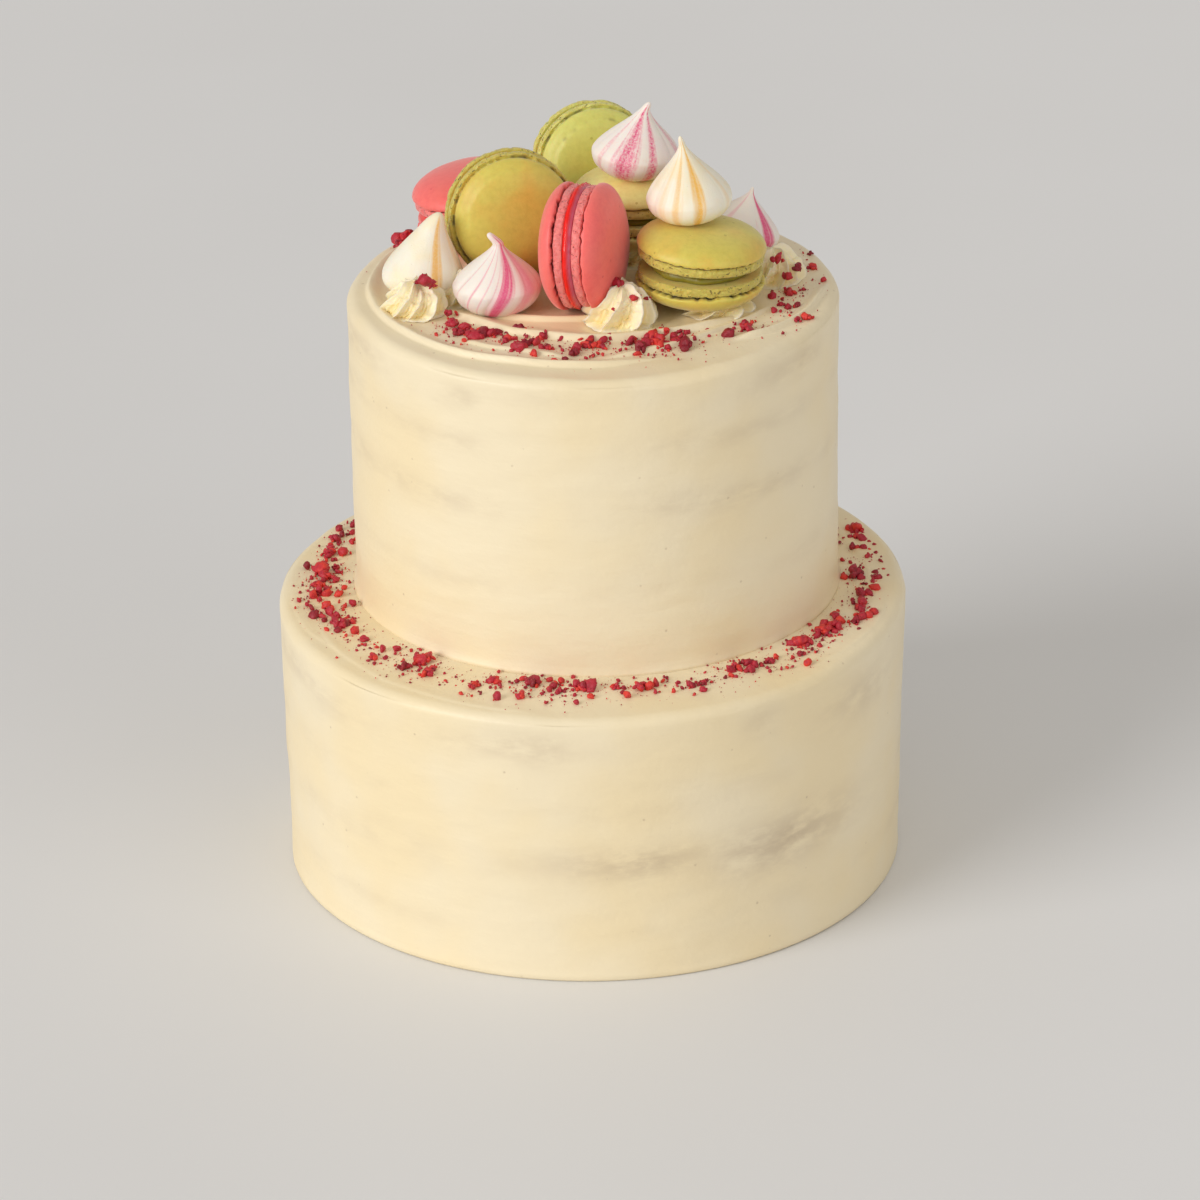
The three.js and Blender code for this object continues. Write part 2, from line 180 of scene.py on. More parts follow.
# Crumbs on the ledge beside the solids' own: place and size.
STRAY = [
    (-57.3, -59.7, 2.8), (-65.5, -67.0, 2.4), (-76.1, -57.9, 1.8), (-80.0, -43.2, 2.0),
    (-67.9, -51.6, 1.6), (83.6, -38.8, 3.0), (80.6, -43.6, 2.1), (75.1, -51.6, 2.1),
    (-88.5, -31.3, 2.0), (-84.4, -14.5, 1.8), (8.5, -85.1, 1.7), (-24.1, -90.6, 2.1),
    (-41.0, -84.3, 1.9), (96.7, 41.2, 2.2), (61.7, -66.3, 1.8), (53.7, -68.7, 2.0),
]
# Smaller crumbs and dust: the share that lies in the clusters, how many for each large one, how far
# a cluster spreads, least and most size, level of the pebble and how rough it is.
SMALLER = [
    (0.6, 5.5, 5.5, 0.7, 2.3, 2, 0.34),
    (0.7, 15.0, 5.5, 0.32, 0.95, 1, 0.3),
    (0.8, 40.0, 7.0, 0.10, 0.34, 1, 0.2),
]

# Noise on the pieces: the size of its cells in millimetres, its depth, and its layers where it has
# more than one.
WALL_WAVES, WALL_SCRAPES = (34.0, 0.30, 3), (9.0, 0.10)
FACE_WAVES, FACE_SCRAPES = (26.0, 0.35, 3), (7.0, 0.08)
ARC_WANDER, BAND_WANDER, BAND_BREAKS = (16.0, 0.9), (60.0, 3.5), (34.0, 1.0, 3)
FINE_TEARS, SLOW_TEARS, CREASE_BREAKS = (1.5, 0.8, 2), (5.0, 0.5), (4.0, 1.0)
FOOT_CRAGS, FOOT_WAVES, DOME_WAVES = (1.7, 1.0, 3), (4.5, 0.25), (17.0, 0.22, 2)
FOLD_WANDER, FOLD_BREAKS, FILLING_WAVES = (2.4, 0.35), (3.6, 1.0), (6.0, 0.55, 3)
FURROW_WANDER, FURROW_BREAKS, KISS_WAVES = (4.0, 0.8), (3.0, 1.0), (12.0, 0.02, 2)
STREAK_WANDER, STREAK_FEATHER = (5.0, 3.0), (1.3, 0.45, 3)


def srgb(red, green, blue):
    """Turns a colour of 0 to 255 into the linear light that Blender's colours hold."""
    return tuple(c / 12.92 if c <= 0.04045 else ((c + 0.055) / 1.055) ** 2.4
                 for c in (red / 255, green / 255, blue / 255))


# Settings that a user can change


def a_colour(name, of, red, green, blue):
    """A colour, given as 0 to 255."""
    return FloatVectorProperty(name=name, description=f"Colour of {of}", subtype="COLOR",
                               default=srgb(red, green, blue), min=0, max=1)


def a_length(name, description, millimetres):
    """A length, given in millimetres."""
    return a_value(name, description, millimetres * MM, unit="LENGTH")


def a_number(name, description, default, least=1):
    """A whole number."""
    return IntProperty(name=name, description=description, default=default, min=least)


def a_value(name, description, default, **kind):
    """A number with its unit or subtype, if it has one."""
    return FloatProperty(name=name, description=description, default=default, **kind)


# Noise and placing

# Large odd numbers that scramble a lattice point and a seed, and the largest number of 32 bits.
SCRAMBLE = 374761393, 668265263, 1442695041, 1274126177
WORD = 0xFFFFFFFF
# Turns of a piece that stands as it is made, and of one that is turned over.
UNTURNED, TURNED_OVER = np.eye(3), np.diag([1.0, -1.0, -1.0])


def eased(part):
    """The smooth step of a part from 0 to 1: its square times three less twice the part."""
    return part * part * (3 - 2 * part)


def smooth_step(low, high, value):
    """Rises smoothly from 0 at low to 1 at high."""
    return eased(np.clip((value - low) / (high - low), 0, 1))


def value_noise(points, cell, seed):
    """Smooth noise from -1 to 1: random values on a cubic lattice, blended by a smooth step."""
    scaled = points / cell
    corner = np.floor(scaled)
    part = eased(scaled - corner)
    lattice = corner.astype(np.int64)
    total = np.zeros(points.shape[:-1])
    for step in itertools.product((0, 1), repeat=3):
        x, y, z = np.moveaxis(lattice + np.array(step), -1, 0)
        mixed = (x * SCRAMBLE[0] + y * SCRAMBLE[1] + z * SCRAMBLE[2] + seed * SCRAMBLE[3]) & WORD
        mixed = ((mixed ^ (mixed >> 13)) * SCRAMBLE[3]) & WORD
        value = ((mixed ^ (mixed >> 16)) & 0xFFFF) / 32767.5 - 1
        total += value * np.prod(np.where(step, part, 1 - part), axis=-1)
    return total


def relief(points, seed, cell, depth=1.0, layers=1):
    """Noise of this depth. Each further layer has cells of half the size, and half the depth."""
    return depth * sum(value_noise(points, cell / 2 ** i, seed + 31 * i) / 2 ** i
                       for i in range(layers))


def apart(angle, centre):
    """The signed angle from a centre, in degrees, between -180 and 180."""
    return (np.degrees(angle) - centre + 180) % 360 - 180


def above_top(place):
    """A place whose height is over the upper tier's top face, as a place on the whole cake."""
    return np.add(place, (0, 0, TOP))


def leaning(azimuth, elevation):
    """The smallest turn that carries +Z onto the axis with this azimuth and elevation."""
    azimuth, elevation = math.radians(azimuth), math.radians(elevation)
    level = math.cos(elevation)
    axis = Vector((level * math.cos(azimuth), level * math.sin(azimuth), math.sin(elevation)))
    return np.array(Vector((0, 0, 1)).rotation_difference(axis).to_matrix())


def columns_round(columns):
    """The angle of each column of a piece, as one row."""
    return (np.arange(columns) / columns * TAU)[None, :]


def rings(radius, angle, height):
    """Points on rings: x and y from the radius and angle, z from the height."""
    return np.stack(np.broadcast_arrays(radius * np.cos(angle), radius * np.sin(angle), height), -1)


# Meshes


def piece(name, points, polygons, sizes, nodes, slot, material, values):
    """Puts arrays of points in millimetres, and polygons as corner numbers with the size of each,
    into a mesh. It rides on the whole cake and stands for the CAD nodes given."""
    mesh = bpy.data.meshes.new(name)
    mesh.vertices.add(len(points))
    mesh.vertices.foreach_set("co", (points * MM).astype(np.float32).ravel())
    mesh.loops.add(len(polygons))
    mesh.loops.foreach_set("vertex_index", polygons.astype(np.int32))
    mesh.polygons.add(len(sizes))
    starts = np.concatenate([[0], np.cumsum(sizes)[:-1]])
    mesh.polygons.foreach_set("loop_start", starts.astype(np.int32))
    mesh.polygons.foreach_set("loop_total", sizes.astype(np.int32))
    mesh.polygons.foreach_set("use_smooth", np.ones(len(sizes), bool))
    for key, value in values.items():
        held = mesh.attributes.new(key, "FLOAT", "POINT")
        held.data.foreach_set("value", value.astype(np.float32).ravel())
    mesh.update(calc_edges=True)
    mesh.validate()
    made = bpy.data.objects.new(name, mesh)
    bpy.context.scene.collection.objects.link(made)
    made.data.materials.append(material)
    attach(made, "root")
    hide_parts(*nodes)


def ring_polygons(count, columns):
    """Corner numbers for rings of points that close round, with a point at each end: a fan of
    triangles at both ends and bands of quads between. Faces look outwards when the rings run from
    the underside out, up and over to the top."""
    here = np.arange(columns)
    on = (here + 1) % columns
    first, last = 0, 1 + count * columns
    below = np.stack([np.full(columns, first), 1 + on, 1 + here], -1)
    start = 1 + (np.arange(count - 1) * columns)[:, None]
    bands = np.stack([start + here, start + on, start + columns + on, start + columns + here], -1)
    end = 1 + (count - 1) * columns
    above = np.stack([end + here, end + on, np.full(columns, last)], -1)
    polygons = np.concatenate([below.ravel(), bands.ravel(), above.ravel()])
    sizes = np.repeat([3, 4, 3], [columns, (count - 1) * columns, columns])
    return polygons, sizes


def ring_piece(name, grid, peak, nodes, slot, material, masks, *moves):
    """A closed piece from a grid of rings that starts round the origin and ends round the peak, and
    the masks over the grid. Each move turns it, then shifts it."""
    count, columns = grid.shape[:2]
    points = np.concatenate([[(0, 0, 0)], grid.reshape(-1, 3), [peak]])
    for turn, shift in moves:
        points = points @ turn.T + shift
    spread = {}
    for key, mask in masks.items():
        mask = np.broadcast_to(mask, (count, columns))
        spread[key] = np.concatenate([[mask[0].mean()], mask.ravel(), [mask[-1].mean()]])
    piece(name, points, *ring_polygons(count, columns), nodes, slot, material, spread)


# Materials

FLOAT, COLOUR = "NodeSocketFloat", "NodeSocketColor"


def add(tree, kind, sockets=None, **settings):
    """Adds a node, sets its properties, and links or sets its inputs. A colour may be given
    without its alpha."""
    made = tree.nodes.new(kind)
    for key, value in settings.items():
        setattr(made, key, value)
    for key, value in (sockets or {}).items():
        socket = made.inputs[key]
        if isinstance(value, bpy.types.NodeSocket):
            tree.links.new(value, socket)
        elif socket.type == "RGBA" and len(value) == 3:
            socket.default_value = (*value, 1)
        else:
            socket.default_value = value
    return made


def position(tree):
    """The place on the cake, in metres."""
    return add(tree, "ShaderNodeTexCoord").outputs["Object"]


def mesh_mask(tree, name):
    """A mask that the mesh holds."""
    return add(tree, "ShaderNodeAttribute", attribute_name=name).outputs["Fac"]


def sums(tree, kind, first, second):
    """One step of arithmetic on two values."""
    return add(tree, "ShaderNodeMath", {0: first, 1: second}, operation=kind).outputs[0]


def times(tree, first, second):
    """One value times another."""
    return sums(tree, "MULTIPLY", first, second)


def mix(tree, factor, first, second, share=None):
    """Mixes two colours by the factor, or by the factor times a share."""
    if share is not None:
        factor = times(tree, factor, share)
    made = add(tree, "ShaderNodeMix", {0: factor, 6: first, 7: second}, data_type="RGBA")
    return made.outputs[2]


def ramp(tree, value, low, high):
    """A smooth step from 0 at low to 1 at high."""
    made = add(tree, "ShaderNodeMapRange", {0: value, 1: low, 2: high},
               interpolation_type="SMOOTHSTEP")
    return made.outputs[0]


def noise(tree, vector, scale, detail=3.0, rough=0.5):
    """A noise texture's value."""
    made = add(tree, "ShaderNodeTexNoise",
               {"Vector": vector, "Scale": scale, "Detail": detail, "Roughness": rough})
    return made.outputs["Fac"]


def patchy(tree, vector, scale, low, high, detail=2.0, rough=0.5):
    """A mask that rises from 0 to 1 as a noise rises from low to high."""
    return ramp(tree, noise(tree, vector, scale, detail, rough), low, high)


def drawn_out(tree, vector, times_level):
    """A place for patterns that are drawn out level, this many times as long as high."""
    scale = (1.0, 1.0, times_level)
    return add(tree, "ShaderNodeMapping", {"Vector": vector, "Scale": scale}).outputs[0]


def spots(tree, vector, scale):
    """Scattered spots: the distance from the nearest, and a random number of 0 to 1 for each."""
    cells = add(tree, "ShaderNodeTexVoronoi", {"Vector": vector, "Scale": scale}).outputs
    chosen = add(tree, "ShaderNodeSeparateColor", {0: cells["Color"]}).outputs[0]
    return cells["Distance"], chosen


def group(name, inputs, outputs, fill):
    """Builds a shader node group once: its inputs with their defaults, which are tuples for colours
    and numbers for values, its outputs, then what fill puts in it."""
    if name in bpy.data.node_groups:
        return bpy.data.node_groups[name]
    made = bpy.data.node_groups.new(name, "ShaderNodeTree")
    for label, default in inputs.items():
        kind = COLOUR if isinstance(default, tuple) else FLOAT
        socket = made.interface.new_socket(label, in_out="INPUT", socket_type=kind)
        socket.default_value = default
    for label, kind in outputs.items():
        made.interface.new_socket(label, in_out="OUTPUT", socket_type=kind)
    start = made.nodes.new("NodeGroupInput")
    end = made.nodes.new("NodeGroupOutput")
    for label, socket in fill(made, start.outputs).items():
        made.links.new(socket, end.inputs[label])
    return made


def use(tree, made, sockets):
    """Places a node group in a material and returns its outputs."""
    return add(tree, "ShaderNodeGroup", sockets, node_tree=made).outputs


def grained(tree, scale, pit_scale, pit_share):
    """The fine unevenness of a food's surface: soft lumps and small pits, out as a height."""
    def fill(tree, given):
        place = position(tree)
        soft = noise(tree, place, given["Scale"], 4.0, 0.6)
        away, chosen = spots(tree, place, given["Pit Scale"])
        rare = sums(tree, "GREATER_THAN", chosen, given["Pit Share"])
        hole = times(tree, sums(tree, "SUBTRACT", 1.0, ramp(tree, away, 0.02, 0.16)), rare)
        return {"Height": sums(tree, "SUBTRACT", soft, hole), "Pits": hole}
    made = group("Fine Grain", {"Scale": 900.0, "Pit Scale": 160.0, "Pit Share": 0.8},
                 {"Height": FLOAT, "Pits": FLOAT}, fill)
    return use(tree, made, {"Scale": scale, "Pit Scale": pit_scale, "Pit Share": pit_share})


def baked_tone():
    """How a baked shell varies: painted shade in its crease, browned in patches, with small dark
    specks, and a crumbly, torn foot with painted shade in its hollows and crags."""
    def fill(tree, given):
        place = position(tree)
        away, chosen = spots(tree, place, 330.0)
        speck = times(tree, sums(tree, "LESS_THAN", away, 0.17),
                      sums(tree, "GREATER_THAN", chosen, 0.9))
        browned = patchy(tree, place, 60.0, 0.42, 0.72)
        mottle = patchy(tree, place, 420.0, 0.35, 0.75, 4.0, 0.65)
        tone = mix(tree, browned, given["Shell"], given["Brown"], given["Browning"])
        tone = mix(tree, mottle, tone, given["Dark and Shade"], 0.22)
        tone = mix(tree, speck, tone, given["Dark and Shade"], 0.6)
        crumbly = patchy(tree, place, 620.0, 0.30, 0.60, 4.0, 0.65)
        # The foot takes the dark colour where its crumbly bumps lie low: painted shade in its
        # hollows.
        pale = sums(tree, "ADD", times(tree, crumbly, 0.4), 0.6)
        foot = mix(tree, pale, given["Dark and Shade"], given["Foot"])
        # Dark spots in the foot's crags, in the crease colour, are painted shade.
        foot = mix(tree, patchy(tree, place, 760.0, 0.62, 0.68), foot, given["Crease Shade"], 0.7)
        tone = mix(tree, given["Foot Mask"], tone, foot)
        # The crease colour along the crease mask is painted shade.
        tone = mix(tree, given["Crease Mask"], tone, given["Crease Shade"])
        return {"Color": tone, "Foot Height": times(tree, crumbly, given["Foot Mask"])}
    return group("Baked Tone", {
        "Shell": (0.5, 0.5, 0.1, 1), "Brown": (0.5, 0.3, 0.1, 1), "Dark and Shade": (0.3, 0.3, 0.1, 1),
        "Foot": (0.6, 0.6, 0.2, 1), "Crease Shade": (0.1, 0.1, 0.02, 1), "Browning": 0.3,
        "Foot Mask": 0.0, "Crease Mask": 0.0,
    }, {"Color": COLOUR, "Foot Height": FLOAT}, fill)


def streak_tone():
    """Colour streaks in meringue: a mask from the mesh, broken up by sugar-fine speckle, over
    white."""
    def fill(tree, given):
        place = position(tree)
        speckle = patchy(tree, place, 1300.0, 0.36, 0.6, 3.0, 0.7)
        broken = mix(tree, given["Speckle"], (1, 1, 1, 1), speckle)
        warm = mix(tree, patchy(tree, place, 90.0, 0.4, 0.7), given["White"], given["Warm"])
        return {"Color": mix(tree, given["Mask"], warm, given["Streak"], broken)}
    return group("Streak Tone", {
        "White": (0.9, 0.9, 0.85, 1), "Warm": (0.9, 0.85, 0.75, 1), "Streak": (0.8, 0.2, 0.4, 1),
        "Mask": 0.0, "Speckle": 0.5,
    }, {"Color": COLOUR}, fill)


def new_material(name, roughness, scatter=0.0, radius=(1.0, 0.5, 0.3), spread=2.0, **more):
    """A material with one Principled shader, and its tree. Spread is in millimetres."""
    material = bpy.data.materials.new(name)
    material.use_nodes = True
    inputs = material.node_tree.nodes["Principled BSDF"].inputs
    inputs["Roughness"].default_value = roughness
    inputs["Subsurface Weight"].default_value = scatter
    inputs["Subsurface Radius"].default_value = radius
    inputs["Subsurface Scale"].default_value = spread * MM
    for key, value in more.items():
        inputs[key.replace("_", " ")].default_value = value
    return material, material.node_tree


def finished(material, tone, height=None, depth=0.0):
    """Feeds a colour to a material's shader, and a height, with its depth in millimetres, to its
    normal."""
    tree = material.node_tree
    inputs = tree.nodes["Principled BSDF"].inputs
    tree.links.new(tone, inputs["Base Color"])
    if height:
        bump = add(tree, "ShaderNodeBump",
                   {"Height": height, "Strength": 1.0, "Distance": depth * MM})
        tree.links.new(bump.outputs["Normal"], inputs["Normal"])
    return material


def icing_material(colours):
    """Smoothed buttercream: long level smears from the scraper, faint tan bands where the sponge
    shows through, and the same colour as painted shadow in one patch on the lower wall."""
    material, tree = new_material("icing", 0.42)
    place = position(tree)
    cloudy = patchy(tree, drawn_out(tree, place, 2.4), 60.0, 0.28, 0.64, 5.0, 0.6)
    sponge_and_shadow = times(tree, mesh_mask(tree, "sponge_and_shadow"), cloudy)
    grain = grained(tree, 420.0, 230.0, 0.92)
    tone = mix(tree, patchy(tree, place, 22.0, 0.35, 0.7), colours.icing, colours.icing_warm)
    tone = mix(tree, sponge_and_shadow, tone, colours.sponge, 0.78)
    tone = mix(tree, grain["Pits"], tone, colours.sponge, 0.45)
    smears = noise(tree, drawn_out(tree, place, 5.0), 30.0)
    dimples = noise(tree, place, 190.0, 3.0, 0.6)
    height = sums(tree, "ADD", times(tree, smears, 0.8), times(tree, grain["Height"], 0.20))
    height = sums(tree, "ADD", height, times(tree, dimples, 0.35))
    return finished(material, tone, height, 0.5)


def shell_material(name, shell, brown, dark_and_shade, foot, crease_shade, browning):
    """A baked macaron shell, from the mesh's own masks for its foot and for the painted shade in
    its crease.
    """
    material, tree = new_material(name, 0.46, 0.30, spread=4.0, Sheen_Weight=0.3,
                                  Sheen_Roughness=0.45)
    baked = use(tree, baked_tone(), {
        "Shell": shell, "Brown": srgb(*brown), "Dark and Shade": srgb(*dark_and_shade), "Foot": srgb(*foot),
        "Crease Shade": srgb(*crease_shade), "Browning": browning, "Foot Mask": mesh_mask(tree, "foot"),
        "Crease Mask": mesh_mask(tree, "crease_shade")})
    grain = grained(tree, 1100.0, 300.0, 0.9)
    height = sums(tree, "ADD", times(tree, grain["Height"], 0.35), baked["Foot Height"])
    return finished(material, baked["Color"], height, 0.22)


def filling_material(name, front, behind, roughness):
    """Jam or cream between shells: one colour on the base's side, another on the top's side."""
    material, tree = new_material(name, roughness, 0.15, (1.0, 0.2, 0.1), 1.5)
    grain = grained(tree, 500.0, 260.0, 0.7)
    tone = mix(tree, mesh_mask(tree, "side"), front, behind)
    tone = mix(tree, grain["Height"], tone, (0.02, 0.004, 0.002), 0.25)
    return finished(material, tone, grain["Height"], 0.35)


def meringue_material(name, white, warm, streak, speckle):
    """Crisp meringue with streaks of colour drawn up into its tip."""
    material, tree = new_material(name, 0.5, 0.18, (1.0, 0.7, 0.5))
    tone = use(tree, streak_tone(), {"White": white, "Warm": warm, "Streak": streak,
                                     "Mask": mesh_mask(tree, "streak"), "Speckle": speckle})
    return finished(material, tone["Color"], grained(tree, 1400.0, 500.0, 0.8)["Height"], 0.10)


def piping_material(colours):
    """Piped buttercream, with painted shade, darker and yellower, down in its grooves and pits."""
    material, tree = new_material("piped_cream", 0.38, 0.25, (1.0, 0.7, 0.3), 3.0)
    grain = grained(tree, 700.0, 240.0, 0.85)
    # The groove colour in the grooves and the pits is painted shade.
    tone = mix(tree, mesh_mask(tree, "groove_shade"), colours.piping, colours.piping_shade)
    tone = mix(tree, grain["Pits"], tone, colours.piping_shade, 0.5)
    return finished(material, tone, grain["Height"], 0.18)


def berry_material(colours):
    """Dried raspberry: crimson to brick red from crumb to crumb, with painted shade in its hollows.
    """
    material, tree = new_material("raspberry", 0.42)
    hue = mesh_mask(tree, "tone")
    grain = grained(tree, 1300.0, 700.0, 0.4)
    tone = mix(tree, ramp(tree, hue, 0.0, 0.5), colours.berry_dark_and_shade, colours.berry)
    tone = mix(tree, ramp(tree, hue, 0.55, 0.9), tone, colours.berry_bright)
    powder = patchy(tree, position(tree), 2600.0, 0.60, 0.72)
    tone = mix(tree, powder, tone, colours.berry_powder, 0.35)
    # The dark colour in the pits is painted shade in the hollows.
    tone = mix(tree, grain["Pits"], tone, colours.berry_dark_and_shade, 0.7)
    return finished(material, tone, grain["Height"], 0.35)


# Icing


def knife_marks(radius, angle, marks):
    """The height that the knife's arcs add at each radius and angle. Across an arc the height dies
    off as a bell, narrow outwards and wide inwards, and it fades in and out at the arc's ends."""
    fading = 0.16
    total = 0 * radius
    for start, end, at_start, at_middle, at_end, height, outward, inward in marks:
        along = ((np.degrees(angle) - start) % 360) / (end - start)
        part = np.clip(along, 0, 1)
        arc = at_start * (1 - part) * (1 - 2 * part) + 4 * at_middle * part * (1 - part) \
            + at_end * part * (2 * part - 1)
        off = radius - arc - relief(rings(arc, angle, 0.0), int(start), *ARC_WANDER)
        bell = np.exp(-np.where(off > 0, off / outward, off / inward) ** 2)
        fade = smooth_step(0, fading, part) * smooth_step(1, 1 - fading, part) * (along <= 1)
        total = total + height * bell * fade
    return total


def sponge_and_shadow_share(angle, height, sponge_and_shadow, seed):
    """How far the sponge colour is laid on, from 0 to 1, where the sponge shows through and in the
    one patch of painted shadow: bells in height for the bands, broken up round the cake by noise,
    and bells in angle and height for the patches."""
    around = rings(100.0, angle, height * 0.6)
    wander = relief(around, seed, *BAND_WANDER)
    broken = smooth_step(-0.45, 0.6, relief(around, seed + 1, *BAND_BREAKS))
    shown = 0 * height
    for level, half, strength in sponge_and_shadow["bands"]:
        bell = np.exp(-((height - level - wander) / half) ** 2)
        shown = np.maximum(shown, strength * broken * bell)
    for centre, level, wide, half, strength in sponge_and_shadow["patches"]:
        across, over = apart(angle, centre) / wide, (height - level - wander * 0.5) / half
        bell = np.exp(-across ** 2 - over ** 2)
        shown = np.maximum(shown, strength * bell * (0.6 + 0.4 * broken))
    return shown


def tier_rows(tier, inner, steps):
    """The outline of a tier from its underside to its top face, as radius and height: a chamfered
    foot, or a skirt of icing pressed into the tier below, a straight wall, a quarter-round brow,
    then inwards, finer where the knife's arcs are."""
    chamfer, underside, pole, skirt_rise = 0.8, 2.5, 1.5, 1.5
    wall_rows, brow_rows, middle_rows = 60, 13, 16
    foot, brow, bend, skirt = tier["foot"], tier["brow"], tier["round"], tier.get("skirt", 0.0)
    level = tier["height"] - bend
    wall = np.linspace(0, 1, wall_rows)
    turn = np.linspace(0, math.pi / 2, brow_rows)[1:]
    across = np.concatenate([np.linspace(brow - bend, inner, steps)[1:],
                             np.linspace(inner, pole, middle_rows)[1:]])
    up = chamfer + (level - chamfer) * wall
    radius = np.concatenate([
        [foot * 0.5, foot - underside, foot - chamfer + 2 * skirt],
        foot + (brow - foot) * wall + skirt * np.exp(-up / skirt_rise),
        brow - bend + bend * np.cos(turn), across])
    height = np.concatenate([[-skirt, -skirt, -0.6 * skirt], up, level + bend * np.sin(turn),
                             np.full(len(across), tier["height"])])
    return radius[:, None], height[:, None]


def tier_surface(tier, inner, steps, columns, swell, marks, sponge_and_shadow, seed):
    """A tier's icing. Its wall has slow waves a few tenths of a millimetre deep, drawn out level by
    the scraper, and its top face slow waves and the knife's arcs. The lower tier's brow swells
    towards one side by the square of the cosine of the angle from it."""
    drawn, drawn_more, wall_in, face_down = 2.2, 2.4, 0.45, 0.15
    radius, height = tier_rows(tier, inner, steps)
    angle = columns_round(columns) + math.pi / 2
    radius, height = radius + 0 * angle, height + 0 * angle
    near = swell * np.maximum(0, np.cos(angle - math.radians(SWELL["toward"]))) ** 2
    on_rim = radius > SWELL["flat"]
    on_wall = smooth_step(0, 2, height) \
        * smooth_step(tier["brow"] * 0.8, tier["brow"] * 0.96, radius)
    place = rings(radius, angle, height * drawn)
    waves = relief(place, seed, *WALL_WAVES) \
        + relief(place * (1, 1, drawn_more), seed + 7, *WALL_SCRAPES)
    out = radius + on_wall * (waves - wall_in) \
        + np.where(on_rim, SWELL["out"] * near * (height / tier["height"]), 0)
    on_brow = height > tier["height"] - tier["round"] - 0.1
    on_face = height >= tier["height"] - tier["round"] * 0.6
    flat = rings(radius, angle, 0.0)
    ripple = relief(flat, seed + 3, *FACE_WAVES) + relief(flat, seed + 5, *FACE_SCRAPES)
    rise = np.where(on_rim & on_brow, SWELL["up"] * near, 0) \
        + on_face * (ripple - face_down + knife_marks(radius, angle, marks))
    shown = on_wall * (height < tier["height"] - 1) * sponge_and_shadow_share(angle, height, sponge_and_shadow, seed + 9)
    return rings(out, angle, height + rise), {"sponge_and_shadow": shown}


class CAKE_PG_tiers(bpy.types.PropertyGroup):
    """Sizes and colours of the iced tiers."""
    columns: a_number("Columns", "Points round each tier", 360, 64)
    steps: a_number("Steps", "Rows over each millimetre of a top face", 2)
    icing: a_colour("Icing", "the icing", 244, 230, 198)
    icing_warm: a_colour("Warm Icing", "the icing in warmer patches", 244, 226, 186)
    # The sponge colour also paints the shadow patch on the lower wall.
    sponge: a_colour("Sponge", "the sponge that shows through", 180, 158, 132)


class CAKE_OT_tiers(bpy.types.Operator):
    """Makes the icing of both tiers"""
    bl_idname = "cake.tiers"
    bl_label = "Tiers"

    def execute(self, context):
        given = context.scene.cake_tiers
        icing = icing_material(given)
        for name, tier, inner, swell, marks, sponge_and_shadow, seed in (
                ("lower", LOWER, 84.0, 1, LOWER_MARKS, LOWER_THIN, 41),
                ("upper", UPPER, 22.0, 0, UPPER_MARKS, UPPER_THIN, 57)):
            rows = int(given.steps * (tier["brow"] - inner))
            grid, masks = tier_surface(tier, inner, rows, given.columns, swell, marks, sponge_and_shadow, seed)
            ring_piece(f"icing_{name}", grid, (0, 0, tier["height"]), [f"tier_{name}"], "icing",
                       icing, masks, (UNTURNED, tier["at"]))
        return {"FINISHED"}


# Macarons


